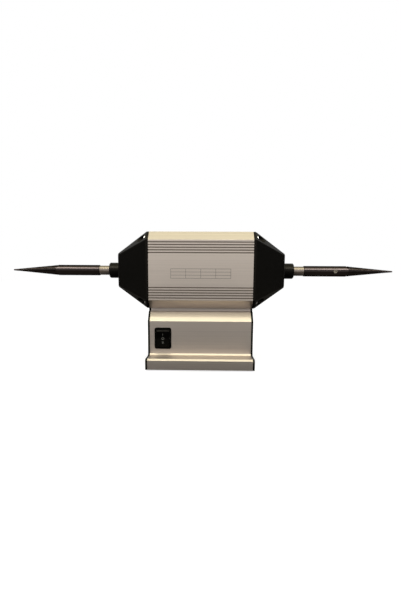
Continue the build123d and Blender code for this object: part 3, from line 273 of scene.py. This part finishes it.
MAT_GREY = (0.28, 0.26, 0.23)
CEILING_CREAM = (0.82, 0.81, 0.60)
CARD_BLACK = (0, 0, 0)
CARD_ASIDE, CARD_FORWARD, CARD_HEIGHT = 1.0, 0.30, 0.40
even_sheet("grey_side_mat", half_width=1.2, half_depth=2.0, height=0.0002, color=MAT_GREY)
even_sheet("warm_ceiling", half_width=1.6, half_depth=1.6, height=1.7, color=CEILING_CREAM)
for hand, side in (("left", -1), ("right", 1)):
    card = even_sheet(f"{hand}_dark_card", half_width=0.45, half_depth=0.40, height=0.0, color=CARD_BLACK)
    card.rotation_euler = (0, math.pi / 2, 0)
    card.location = (side * CARD_ASIDE, -CARD_FORWARD, CARD_HEIGHT)
    print(card.name, "at", [round(c, 2) for c in card.location])

# %% [markdown]
# ## The lamps
# Round polished bars show a lamp as a streak, and sloped bands of brushed metal flash where they
# mirror one. The streaks in the photograph lie a third of the way down each spindle, which puts
# the light high in front of the motor. A wide softbox and a narrow strip under it light the
# sloped bands. A lamp's power follows from its area and its brightness.

# %% Lamps
shaft_low, shaft_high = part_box("rotor_shaft")
AXIS_Z = (shaft_low.z + shaft_high.z) / 2
motor_middle = Vector((0, 0, AXIS_Z))
WARM = (1.0, 0.98, 0.78)


def softbox(name, elevation, azimuth, distance, width, height, brightness, color=WARM):
    """A soft lamp that looks at the middle of the motor. Azimuth 0 is in front, 90 on the right."""
    lamp_data = bpy.data.lights.new(name, "AREA")
    lamp_data.shape = "RECTANGLE"
    lamp_data.size = width
    lamp_data.size_y = height
    lamp_data.color = color
    lamp_data.energy = brightness * math.pi * width * height
    up_angle, side_angle = math.radians(elevation), math.radians(azimuth)
    away = Vector((
        math.cos(up_angle) * math.sin(side_angle),
        -math.cos(up_angle) * math.cos(side_angle),
        math.sin(up_angle),
    ))
    lamp = bpy.data.objects.new(name, lamp_data)
    lamp.location = motor_middle + distance * away
    lamp.rotation_euler = (-away).to_track_quat("-Z", "Y").to_euler()
    lamp.visible_camera = False
    bpy.context.scene.collection.objects.link(lamp)
    print(name, round(lamp_data.energy, 2), "W")
    return lamp


softbox(
    "overhead_softbox", elevation=66, azimuth=0, distance=1.3, width=2.4, height=0.80, brightness=1.6
)
softbox("band_strip", elevation=52, azimuth=0, distance=1.2, width=2.4, height=0.12, brightness=5.0)

# %% [markdown]
# ## Tools for finishes
# No real surface is one flat colour. Each finish below starts from a Principled shader whose
# constant values are set on the shader itself, and then noise in the object's own metres varies
# its colour, its roughness and its relief. Because the noise is measured in metres, a
# scratch has the same width on every piece.

# %% Node helpers
finishes = {}


def finish(slot, **values):
    """A new finish for a slot of the record. Keywords are shader sockets with _ for a space."""
    material, shader = new_material(slot)
    for socket, value in values.items():
        shader.inputs[socket.replace("_", " ")].default_value = value
    finishes[slot] = material
    return material


def add_node(material, kind, **links):
    """A new node in a finish, with the given outputs plugged into its inputs."""
    tree = material.node_tree
    node = tree.nodes.new(kind)
    for socket, output in links.items():
        tree.links.new(output, node.inputs[socket.replace("_", " ")])
    return node


def plug(material, output, socket):
    """Plug an output into the finish's shader."""
    shader = material.node_tree.nodes["Principled BSDF"]
    material.node_tree.links.new(output, shader.inputs[socket])


def mix_colors(material, factor):
    """The two colour inputs and the output of a new Mix node."""
    mix = add_node(material, "ShaderNodeMix")
    mix.data_type = "RGBA"
    material.node_tree.links.new(factor, mix.inputs["Factor"])
    first, second = (socket for socket in mix.inputs if socket.type == "RGBA")
    return first, second, next(socket for socket in mix.outputs if socket.type == "RGBA")


print("node helpers ready")


# %% Noise helpers
def grain(material, per_metre, detail=3.0):
    """Noise from 0 to 1, with so many features in a metre along X, Y and Z."""
    place = add_node(material, "ShaderNodeTexCoord")
    scaled = add_node(material, "ShaderNodeMapping", Vector=place.outputs["Object"])
    scaled.inputs["Scale"].default_value = per_metre
    noise = add_node(material, "ShaderNodeTexNoise", Vector=scaled.outputs["Vector"])
    noise.inputs["Scale"].default_value = 1.0
    noise.inputs["Detail"].default_value = detail
    return noise.outputs["Fac"]


def vary(material, noise, socket, low, high):
    """Drive a shader value from noise, between two limits."""
    span = add_node(material, "ShaderNodeMapRange", Value=noise)
    span.inputs["From Min"].default_value = 0.3
    span.inputs["From Max"].default_value = 0.7
    span.inputs["To Min"].default_value = low
    span.inputs["To Max"].default_value = high
    plug(material, span.outputs["Result"], socket)


def tint(material, noise, dark, light):
    """Drive the colour from noise, between two colours."""
    first, second, color = mix_colors(material, noise)
    first.default_value = (*dark, 1)
    second.default_value = (*light, 1)
    plug(material, color, "Base Color")


def emboss(material, noise, height, edge_radius=0.0):
    """Raise the surface by noise, in metres, over edges softened to a radius."""
    bump = add_node(material, "ShaderNodeBump", Height=noise)
    bump.inputs["Distance"].default_value = height
    if edge_radius:
        bevel = add_node(material, "ShaderNodeBevel")
        bevel.samples = 4
        bevel.inputs["Radius"].default_value = edge_radius
        material.node_tree.links.new(bevel.outputs["Normal"], bump.inputs["Normal"])
    plug(material, bump.outputs["Normal"], "Normal")


def shades(color, share):
    """A darker and a lighter colour, each by a share of the given one."""
    return [c * (1 - share) for c in color], [c * (1 + share) for c in color]


print("noise helpers ready")

# %% [markdown]
# ## Brushed aluminium
# The housing and the stand are extruded, brushed along their length and anodised a warm
# champagne tone. Brushing leaves fine lines along X, so light spreads across the lines, not
# along them. Noise drawn out along X gives the lines, and anisotropy with a tangent that runs
# round the X axis gives the spread. Modelled lines would be far too fine to be of use.

# %% Brushed aluminium
FINE_LINES = (7, 1600, 1600)
BROAD_STREAKS = (2, 420, 420)
CHAMPAGNE = (0.593, 0.520, 0.463)
DEEPER_CHAMPAGNE = (0.57, 0.50, 0.445)


def brushed(slot, color, roughness, line_depth):
    """Aluminium brushed along X."""
    metal = finish(slot, Metallic=1.0, Anisotropic=0.45, Base_Color=(*color, 1))
    lines = grain(metal, FINE_LINES)
    streaks = grain(metal, BROAD_STREAKS, detail=2.0)
    tint(metal, streaks, *shades(color, 0.11))
    vary(metal, lines, "Roughness", roughness - 0.04, roughness + 0.05)
    emboss(metal, lines, line_depth)
    round_x = add_node(metal, "ShaderNodeTangent")
    round_x.direction_type = "RADIAL"
    round_x.axis = "X"
    plug(metal, round_x.outputs["Tangent"], "Tangent")
    return metal


housing_metal = brushed("housing_aluminium", CHAMPAGNE, roughness=0.36, line_depth=4e-6)
brushed("stand_aluminium", DEEPER_CHAMPAGNE, roughness=0.37, line_depth=4e-6)
brushed("plate_silver", CHAMPAGNE, roughness=0.36, line_depth=3e-6)
print("brushed:", sorted(finishes))

# %% [markdown]
# ## Grooves with painted shade
# Five grooves run along the front and the back of the housing, above and below the rating plate.
# Little light comes back out of them, so a painted shade darkens their floors and walls into dark lines.
# Their floors and walls are the only places on the front and back that lie deeper than the
# face, so two comparisons on the object's own coordinates are enough to find them.


# %% Masks
def calculate(material, operation, *values):
    """Output of a Math node. Each value is a number or the output of another node."""
    node = add_node(material, "ShaderNodeMath")
    node.operation = operation
    for socket, value in zip(node.inputs, values):
        if isinstance(value, float):
            socket.default_value = value
        else:
            material.node_tree.links.new(value, socket)
    return node.outputs["Value"]


def near(material, axis, middle, reach):
    """Output that is 1 within a reach of a middle, along an axis of the object, and 0 beyond."""
    place = add_node(material, "ShaderNodeTexCoord")
    split = add_node(material, "ShaderNodeSeparateXYZ", Vector=place.outputs["Object"])
    offset = calculate(material, "SUBTRACT", split.outputs[axis], middle)
    return calculate(material, "LESS_THAN", calculate(material, "ABSOLUTE", offset), reach)


def lay_over(material, mask, inside=None, outside=None):
    """Lay a colour over the finish, inside a mask or outside it."""
    shader = material.node_tree.nodes["Principled BSDF"]
    clean = shader.inputs["Base Color"].links[0].from_socket
    first, second, color = mix_colors(material, mask)
    own, other = (first, second) if inside else (second, first)
    material.node_tree.links.new(clean, own)
    other.default_value = (*(inside or outside), 1)
    plug(material, color, "Base Color")


print("mask helpers ready")

# %% Painted groove shade
housing_low, housing_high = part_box("motor_housing")
GROOVE_SHALLOW = 0.0006
# Painted shade for the floors and walls of the grooves, where little light comes back out.
GROOVE_PAINTED_SHADE = (0.18, 0.147, 0.12)
HOUSING_CHAMFER = 0.0124
face_half = (housing_high.z - housing_low.z) / 2 - HOUSING_CHAMFER
groove_face = housing_high.y - GROOVE_SHALLOW
deep = near(housing_metal, "Y", 0.0, groove_face)
within = near(housing_metal, "Z", AXIS_Z, face_half)
lay_over(housing_metal, calculate(housing_metal, "MULTIPLY", deep, within), inside=GROOVE_PAINTED_SHADE)
print("grooves darkened below y =", round(1000 * groove_face, 2), "mm")

# %% [markdown]
# ## Satin black
# The end caps and nose collars are cast and powder coated, the side plates are coated sheet,
# and the switch and the mains inlet are moulded. Coating has a fine orange-peel relief, and it
# wears to grey along edges. A Bevel node finds the edges: where its rounded normal leaves the
# true one, the colour is lifted.

# %% Black coatings
BLACK = (0.0022, 0.0021, 0.0020)
INLET_BLACK = (0.012, 0.012, 0.012)
COMPONENT_BLACK = (0.012, 0.012, 0.013)
BROWNISH = (1.0, 0.90, 0.74, 1)
EASED_EDGE, WORN_EDGE = 0.0005, 0.0006


def worn_edges(material, color, worn):
    """Mix a paler colour in along edges."""
    bevel = add_node(material, "ShaderNodeBevel")
    bevel.samples = 4
    bevel.inputs["Radius"].default_value = WORN_EDGE
    true_normal = add_node(material, "ShaderNodeNewGeometry")
    along = add_node(material, "ShaderNodeVectorMath")
    along.operation = "DOT_PRODUCT"
    material.node_tree.links.new(bevel.outputs["Normal"], along.inputs[0])
    material.node_tree.links.new(true_normal.outputs["Normal"], along.inputs[1])
    span = add_node(material, "ShaderNodeMapRange", Value=along.outputs["Value"])
    span.inputs["From Min"].default_value = 1.0
    span.inputs["From Max"].default_value = 0.8
    tint(material, span.outputs["Result"], color, worn)


def coated(slot, color, roughness, specular, peel, peel_height, wear=0.006):
    """Powder-coated or moulded black, worn to grey along its edges. Peel is counted in a metre."""
    coat = finish(slot, Specular_IOR_Level=specular, Specular_Tint=BROWNISH)
    relief = grain(coat, (peel,) * 3, detail=2.0)
    vary(coat, relief, "Roughness", roughness - 0.05, roughness + 0.07)
    emboss(coat, relief, peel_height, EASED_EDGE)
    worn_edges(coat, color, [c + wear for c in color])
    return coat


coated("cap_black", BLACK, roughness=0.42, specular=0.13, peel=900, peel_height=3e-5)
coated("collar_black", BLACK, roughness=0.32, specular=0.09, peel=900, peel_height=2e-5)
coated("side_black", BLACK, roughness=0.50, specular=0.12, peel=900, peel_height=2e-5, wear=0.001)
coated("switch_black", BLACK, roughness=0.40, specular=0.03, peel=2600, peel_height=1e-5)
rocker_black = coated("rocker_black", BLACK, roughness=0.30, specular=0.022, peel=2600, peel_height=8e-6)
coated("inlet_black", INLET_BLACK, roughness=0.45, specular=0.35, peel=2600, peel_height=1e-5)
coated("component_black", COMPONENT_BLACK, roughness=0.45, specular=0.40, peel=2600, peel_height=1e-5)
print("black finishes:", sum("black" in slot for slot in finishes))

# %% [markdown]
# ## Turned metals
# Shafts, spindles, bearing rings and the commutator are turned. A lathe leaves rings round the
# shaft, so the noise is close-set along X and nearly even round it. The spindles are blackened
# and polished, so they send back only a thirtieth of the light, and at their rims a dark tint
# keeps the white surround out of them.

# %% Turned metals
LATHE_RINGS = (2200, 25, 25)
BLOTCHES = (160, 160, 160)


def turned_metal(slot, color, roughness, share=0.12, ring_height=4e-6, spread=0.05):
    """Metal with lathe rings about X, whose gloss spreads a little about its mean."""
    metal = finish(slot, Metallic=1.0)
    rings = grain(metal, LATHE_RINGS, detail=2.0)
    blotches = grain(metal, BLOTCHES, detail=4.0)
    tint(metal, blotches, *shades(color, share))
    vary(metal, rings, "Roughness", roughness - spread, roughness + spread)
    emboss(metal, rings, ring_height)
    return metal


BLACKENED = (0.036, 0.029, 0.027)
spindle_metal = turned_metal("spindle_steel", BLACKENED, roughness=0.20, ring_height=5e-7, spread=0.01)
spindle_shader = spindle_metal.node_tree.nodes["Principled BSDF"]
spindle_shader.inputs["Specular Tint"].default_value = (0.05, 0.04, 0.04, 1)
turned_metal("shaft_steel", (0.26, 0.22, 0.19), roughness=0.24, share=0.3)
turned_metal("bearing_steel", (0.55, 0.55, 0.54), roughness=0.2)
turned_metal("commutator_copper", (0.80, 0.42, 0.26), roughness=0.26)
print("finishes so far:", len(finishes))

# %% [markdown]
# ## Plain metals
# Screws, springs, plates and contacts are stamped, drawn or wound, so they have no rings, only a
# fine even grain. One recipe serves them all, and each gets its own colour and gloss: steel
# outside, with brass and copper inside the motor.


# %% Plain metals
def plain_metal(slot, color, roughness):
    """Metal with a fine even grain."""
    metal = finish(slot, Metallic=1.0)
    speckle = grain(metal, (700, 700, 700), detail=4.0)
    tint(metal, speckle, *shades(color, 0.12))
    vary(metal, speckle, "Roughness", roughness - 0.06, roughness + 0.08)
    emboss(metal, speckle, 6e-6, edge_radius=0.0002)
    return metal


plain_metal("bright_steel", (0.42, 0.40, 0.37), roughness=0.26)
plain_metal("spring_steel", (0.36, 0.36, 0.37), roughness=0.32)
plain_metal("core_steel", (0.27, 0.26, 0.25), roughness=0.45)
plain_metal("base_steel", (0.46, 0.46, 0.45), roughness=0.38)
plain_metal("cage_brass", (0.72, 0.52, 0.22), roughness=0.32)
plain_metal("contact_brass", (0.74, 0.55, 0.26), roughness=0.3)
plain_metal("winding_copper", (0.48, 0.20, 0.09), roughness=0.34)
print("finishes so far:", len(finishes))

# %% [markdown]
# ## Rubber, felt and moulded parts
# What is left is inside the stand and the motor, or under it: rubber feet, felt seals, insulated
# leads, a circuit board and its parts. They are seen in a cut-away or from below, so each gets
# an honest colour and a grain of the right size, without more.


# %% Soft and moulded materials
def moulded(slot, color, roughness, per_metre=1500, relief=1e-5, share=0.15):
    """Plastic, rubber, felt or ceramic with a fine even grain."""
    stuff = finish(slot, Specular_IOR_Level=0.4)
    speckle = grain(stuff, (per_metre,) * 3, detail=3.0)
    tint(stuff, speckle, *shades(color, share))
    vary(stuff, speckle, "Roughness", roughness - 0.06, min(roughness + 0.08, 1.0))
    emboss(stuff, speckle, relief, edge_radius=0.0002)
    return stuff


moulded("foot_rubber", (0.018, 0.018, 0.018), roughness=0.75, per_metre=900, relief=3e-5)
moulded("seal_felt", (0.33, 0.31, 0.27), roughness=0.92, per_metre=2500, relief=8e-5, share=0.3)
moulded("insulator_brown", (0.16, 0.075, 0.035), roughness=0.5)
moulded("brush_carbon", (0.03, 0.03, 0.032), roughness=0.55, per_metre=2600)
moulded("magnet_ferrite", (0.055, 0.055, 0.06), roughness=0.7, per_metre=1200, relief=2e-5)
moulded("board_green", (0.02, 0.15, 0.06), roughness=0.4, per_metre=300)
moulded("block_grey", (0.30, 0.31, 0.31), roughness=0.5)
moulded("capacitor_yellow", (0.62, 0.44, 0.06), roughness=0.42)
moulded("lead_black", (0.02, 0.02, 0.02), roughness=0.5)
moulded("lead_green", (0.05, 0.26, 0.06), roughness=0.5)
print("finishes so far:", len(finishes))

# %% [markdown]
# ## Finishes onto the solids
# Each CAD node arrives with one material that is named after its slot in the record. The
# node's slot is refilled with the finish of the same name, and the mesh itself stays as it is.
# The grub screws in the spindles share a slot with the other screws, but theirs are duller steel,
# and the screws in the end caps are bright zinc.

# %% Hand out the finishes
used = set()
for node in nodes.values():
    slot = node.data.materials[0].name.split(".")[0]
    node.data.materials[0] = finishes[slot]
    used.add(slot)
print("slots used:", len(used), "of", len(finishes))

grub_steel = plain_metal("grub_steel", (0.28, 0.25, 0.20), roughness=0.38)
screw_zinc = plain_metal("screw_zinc", (0.74, 0.73, 0.70), roughness=0.34)
nodes["spindle_set_screws"].data.materials[0] = grub_steel
nodes["cap_screws"].data.materials[0] = screw_zinc

# %% [markdown]
# ## The taper spindles
# Felt cones and buffs are screwed onto these tapers. The thread is a single start that runs to
# the tip, left-handed on the left so that the turning shaft winds a buff on. A Screw modifier
# makes a straight thread, but this one shrinks with the taper, so the surface is laid out
# as a grid: rows along the shaft, columns round it, and a radius that follows the helix.

# %% Spindle sizes
spindle_low, spindle_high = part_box("right_spindle")
screw_low, screw_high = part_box("spindle_set_screws")
SLEEVE_X, TIP_X = spindle_low.x, spindle_high.x
SLEEVE_RADIUS = (spindle_high.z - spindle_low.z) / 2
SLEEVE_LENGTH = 0.0695
SLEEVE_CHAMFER = 0.0008
BORE_RADIUS = 0.00504
BORE_LENGTH = 0.057
RELIEF_WIDTH, RELIEF_DEPTH = 0.0026, 0.0009
CONE_X = SLEEVE_X + SLEEVE_LENGTH
CONE_LENGTH = TIP_X - CONE_X
CONE_BASE_RADIUS, CONE_TIP_RADIUS = 0.0079, 0.0011
THREAD_PITCH, THREAD_DEPTH = 0.0020, 0.00045
TIP_RUN_OUT = 0.012
SET_SCREW_RADIUS = 0.003
SET_SCREW_X = screw_high.x - SET_SCREW_RADIUS
print("taper from", round(1000 * CONE_X, 1), "to", round(1000 * TIP_X, 1), "mm")

# %% Spindle surface
AROUND = 64
ROWS_PER_TURN = 10


def plain_rows():
    """Distance and radius of the rings from the bore's floor round the sleeve to the cone."""
    return [
        (SLEEVE_X + BORE_LENGTH, BORE_RADIUS),
        (SLEEVE_X, BORE_RADIUS),
        (SLEEVE_X, SLEEVE_RADIUS - SLEEVE_CHAMFER),
        (SLEEVE_X + SLEEVE_CHAMFER, SLEEVE_RADIUS),
        (CONE_X - RELIEF_WIDTH, SLEEVE_RADIUS),
        (CONE_X - RELIEF_WIDTH, SLEEVE_RADIUS - RELIEF_DEPTH),
        (CONE_X, SLEEVE_RADIUS - RELIEF_DEPTH),
    ]


def thread_radius(along, turn):
    """Radius of the threaded taper at a distance along it and a share of a turn round it."""
    plain = CONE_BASE_RADIUS + along / CONE_LENGTH * (CONE_TIP_RADIUS - CONE_BASE_RADIUS)
    phase = (along / THREAD_PITCH - turn) % 1.0
    groove = 1 - abs(2 * phase - 1)
    run_out = min(1.0, along / THREAD_PITCH, (CONE_LENGTH - along) / TIP_RUN_OUT)
    return plain - THREAD_DEPTH * groove * run_out


def spindle_rings():
    """Rings of points from the bore's floor to the tip, each point a distance and a radius."""
    rings = [[row] * AROUND for row in plain_rows()]
    row_count = int(CONE_LENGTH / THREAD_PITCH * ROWS_PER_TURN)
    for row in range(row_count + 1):
        along = CONE_LENGTH * row / row_count
        rings.append([(CONE_X + along, thread_radius(along, step / AROUND)) for step in range(AROUND)])
    return rings


print(len(spindle_rings()), "rings of", AROUND, "points")

# %% [markdown]
# The rings become a closed skin. Faces are shaded smooth, apart from the two flat ends, and edges
# that turn sharply are marked, so that the sleeve looks round and its shoulders stay crisp. The
# mirror image on the left turns the helix over, which gives the left-hand thread by itself.

# %% Spindle skin
CRISP_ANGLE = math.radians(35)


def spindle_skin(name, side):
    """Closed skin of a spindle; side is 1 on the right and -1 on the left."""
    work = bmesh.new()
    angles = [2 * math.pi * step / AROUND for step in range(AROUND)]
    skin = []
    for ring in spindle_rings():
        skin.append([
            work.verts.new((side * x, radius * math.cos(a), AXIS_Z + radius * math.sin(a)))
            for (x, radius), a in zip(ring, angles)
        ])
    for ring, following in zip(skin, skin[1:]):
        for step in range(AROUND):
            after = (step + 1) % AROUND
            work.faces.new((ring[step], following[step], following[after], ring[after]))
    work.faces.new(skin[0])
    work.faces.new(skin[-1])
    bmesh.ops.recalc_face_normals(work, faces=work.faces)
    for face in work.faces:
        face.smooth = len(face.verts) == 4
    for edge in work.edges:
        edge.smooth = edge.calc_face_angle(0) < CRISP_ANGLE
    return to_object(work, name)


print("edges stay crisp from", round(math.degrees(CRISP_ANGLE)), "degrees")

# %% [markdown]
# The grub screw sits in a hole across the sleeve. A Boolean modifier cuts it, and the cut mesh is
# read back from the dependency graph, so neither the modifier nor the cutter stays behind.


# %% Spindles
def across_bar(radius, length, side):
    """Round bar across the sleeve, on the side where the grub screw sits."""
    work = bmesh.new()
    bmesh.ops.create_cone(
        work, cap_ends=True, segments=32, radius1=radius, radius2=radius, depth=length
    )
    across = Matrix.Rotation(math.pi / 2, 4, "X")
    toward = Matrix.Translation((side * SET_SCREW_X, -side * length / 2, AXIS_Z))
    bmesh.ops.transform(work, verts=work.verts, matrix=toward @ across)
    return to_object(work, "set_screw_hole")


def cut_away(piece, cutter):
    """Cut one mesh out of another and keep only the result."""
    cut = piece.modifiers.new("hole", "BOOLEAN")
    cut.operation = "DIFFERENCE"
    cut.solver = "EXACT"
    cut.object = cutter
    graph = bpy.context.evaluated_depsgraph_get()
    result = bpy.data.meshes.new_from_object(piece.evaluated_get(graph))
    piece.modifiers.remove(cut)
    piece.data = result
    bpy.data.objects.remove(cutter)


for side, hand in ((-1, "left"), (1, "right")):
    spindle = spindle_skin(f"{hand}_threaded_spindle", side)
    cut_away(spindle, across_bar(SET_SCREW_RADIUS, 2 * SLEEVE_RADIUS, side))
    spindle.data.materials.clear()
    spindle.data.materials.append(spindle_metal)
    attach(spindle, "rotor")
    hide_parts(f"{hand}_spindle")
    print(spindle.name, len(spindle.data.polygons), "faces")

# %% [markdown]
# ## Streaks on the spindles
# A round bar mirrors a lamp as a streak, and it mirrors what lies beyond its end, so each spindle
# gets a strip lamp of its own, high in front and out to its side. The collars and the screws in
# the caps catch it too. In a studio, cards would keep these lamps off the housing. Light linking
# does the same: each lamp names the collection of objects that receive it.

# %% Streak lamps
NEARLY_WHITE = (1.0, 0.99, 0.98)
STREAK_LAMP = {"elevation": 42, "distance": 1.3, "width": 0.7, "height": 0.32, "brightness": 14.0}
streaked = bpy.data.collections.new("streaked_pieces")
streaked.objects.link(nodes["cap_screws"])
for hand in ("left", "right"):
    streaked.objects.link(nodes[f"{hand}_nose_collar"])
    streaked.objects.link(bpy.data.objects[f"{hand}_threaded_spindle"])
for hand, azimuth in (("left", -41), ("right", 41)):
    strip = softbox(f"{hand}_streak_strip", azimuth=azimuth, color=NEARLY_WHITE, **STREAK_LAMP)
    strip.light_linking.receiver_collection = streaked

# %% [markdown]
# ## The brush springs
# Inside the motor, two coil springs press the carbon brushes on the commutator. When a brush
# slides out, its spring gets shorter, which a rigid solid can't do. The coil's mesh is copied
# into a new object that rides on the stand, and the solid spring is hidden.

# %% Brush springs
for level, outward in (("upper", 1), ("lower", -1)):
    spring = nodes[f"{level}_brush_spring"]
    coil = bpy.data.objects.new(f"{level}_brush_coil", spring.data.copy())
    coil.matrix_world = spring.matrix_world.copy()
    bpy.context.scene.collection.objects.link(coil)
    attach(coil, "stand")
    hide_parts(spring.name)
    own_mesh(coil)

# %% [markdown]
# ## The rocker
# The rocker's two ends are lifted to a dark grey, a painted highlight like the sheen of light on their
# rounded ends. A height mask about its pivot tells the ends from the middle, in the way that the
# grooves were found on the housing.

# %% Painted highlight on the rocker ends
pin_low, pin_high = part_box("switch_pivot_pin")
rocker_pivot = (pin_low + pin_high) / 2
ROCKER_EDGE_HALF = 0.0108
# Painted highlight: the rocker's ends are lifted from black to this grey.
ROCKER_END_HIGHLIGHT = (0.02, 0.019, 0.018)
middle_part = near(rocker_black, "Z", rocker_pivot.z, ROCKER_EDGE_HALF)
lay_over(rocker_black, middle_part, outside=ROCKER_END_HIGHLIGHT)
print("rocker highlight painted beyond", round(1000 * ROCKER_EDGE_HALF, 1), "mm from its pivot")

# %% [markdown]
# The three-position switch is marked I, O and II in white. The rocker's face is a shallow V, so
# flat text would float at its ends. Each mark is a thin ribbon that is laid on the V: its
# points take their depth from the face, and the ribbon turns with the rocker.

# %% Ribbons on the rocker
ROCKER_EDGE_REACH, ROCKER_MIDDLE_REACH = 0.0070, 0.0047
MARK_LIFT = 0.00006
MARK_WIDTH = 0.0007
MARK_HEIGHT = 0.0032
MARK_SPACING = 0.0060
BAR_STEPS, RING_STEPS = 8, 32


def on_rocker(x, z):
    """Point on the rocker's face, x and z from its middle."""
    share = abs(z) / ROCKER_EDGE_HALF
    reach = ROCKER_MIDDLE_REACH + share * (ROCKER_EDGE_REACH - ROCKER_MIDDLE_REACH)
    return rocker_pivot + Vector((x, -reach - MARK_LIFT, z))


def ribbon(work, line, closed):
    """Flat ribbon of faces along a line of points in the rocker's face."""
    count = len(line)
    pairs = []
    for step, point in enumerate(line):
        before = line[step - 1] if closed or step else point
        after = line[(step + 1) % count] if closed or step < count - 1 else point
        heading = (after - before).normalized()
        aside = Vector((-heading.y, heading.x)) * MARK_WIDTH / 2
        pairs.append([work.verts.new(on_rocker(*(point + aside * end))) for end in (-1, 1)])
    for step in range(count if closed else count - 1):
        pair, following = pairs[step], pairs[(step + 1) % count]
        work.faces.new((pair[0], following[0], following[1], pair[1]))


def bar(x, z):
    """Points of an upright stroke."""
    return [Vector((x, z + MARK_HEIGHT * (step / BAR_STEPS - 0.5))) for step in range(BAR_STEPS + 1)]


def circle():
    """Points of a round stroke about the middle."""
    angles = [2 * math.pi * step / RING_STEPS for step in range(RING_STEPS)]
    return [Vector((math.cos(a), math.sin(a))) * MARK_HEIGHT / 2 for a in angles]


print("marks", round(1000 * MARK_HEIGHT, 1), "mm high with strokes of", round(1000 * MARK_WIDTH, 1), "mm")

# %% Rocker marks
work = bmesh.new()
ribbon(work, bar(0, MARK_SPACING), closed=False)
ribbon(work, circle(), closed=True)
for x in (-MARK_WIDTH, MARK_WIDTH):
    ribbon(work, bar(x, -MARK_SPACING), closed=False)
bmesh.ops.recalc_face_normals(work, faces=work.faces)
marks = to_object(work, "rocker_marks")
mark_ink = moulded("mark_ink", (0.13, 0.13, 0.125), roughness=0.6, per_metre=3000, relief=4e-6)
marks.data.materials.append(mark_ink)
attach(marks, "rocker")
print("marks:", len(marks.data.polygons), "faces")

# %% [markdown]
# ## Rules on the rating plate
# A rating plate carries a ruled table, here four columns and three rows, all left empty. Print
# has no thickness worth modelling, so each rule is a narrow strip just clear of the plate. The
# upright rules run the full height, and the level ones fit between them, so that no two strips
# lie in the same place.

# %% Plate rules
plate_low, plate_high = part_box("rating_plate")
RULE_WIDTH, RULE_LIFT = 0.0004, 0.00004
COLUMNS, COLUMN_WIDTH = 4, 0.0220
ROWS, ROW_HEIGHT = 3, 0.0046
TABLE_DROP = 0.005


def rule(work, left, right, bottom, top):
    """A strip on the plate, between two distances along it and two heights."""
    y = plate_low.y - RULE_LIFT
    corners = ((left, bottom), (right, bottom), (right, top), (left, top))
    work.faces.new([work.verts.new((x, y, z)) for x, z in corners])


work = bmesh.new()
bottom = AXIS_Z - TABLE_DROP - ROWS * ROW_HEIGHT / 2
top = bottom + ROWS * ROW_HEIGHT + RULE_WIDTH
for column in range(COLUMNS + 1):
    left = (column - COLUMNS / 2) * COLUMN_WIDTH - RULE_WIDTH / 2
    rule(work, left, left + RULE_WIDTH, bottom, top)
    for row in range(ROWS + 1 if column < COLUMNS else 0):
        level = bottom + row * ROW_HEIGHT
        rule(work, left + RULE_WIDTH, left + COLUMN_WIDTH, level, level + RULE_WIDTH)
rules = to_object(work, "plate_rules")
plate_ink = moulded("plate_ink", (0.06, 0.055, 0.05), roughness=0.6, per_metre=3000, relief=4e-6)
rules.data.materials.append(plate_ink)
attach(rules, "stand")
print("rules:", len(rules.data.polygons), "strips")

# %% [markdown]
# ## The size at the end
# The dressed object must stay as large as the solids, so both boxes are printed.

# %% Finish
boxes = {"cad": cad_box, "visual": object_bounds()}
for name, (low, high) in boxes.items():
    print(name, "box in mm:", [round(1000 * side, 1) for side in high - low])
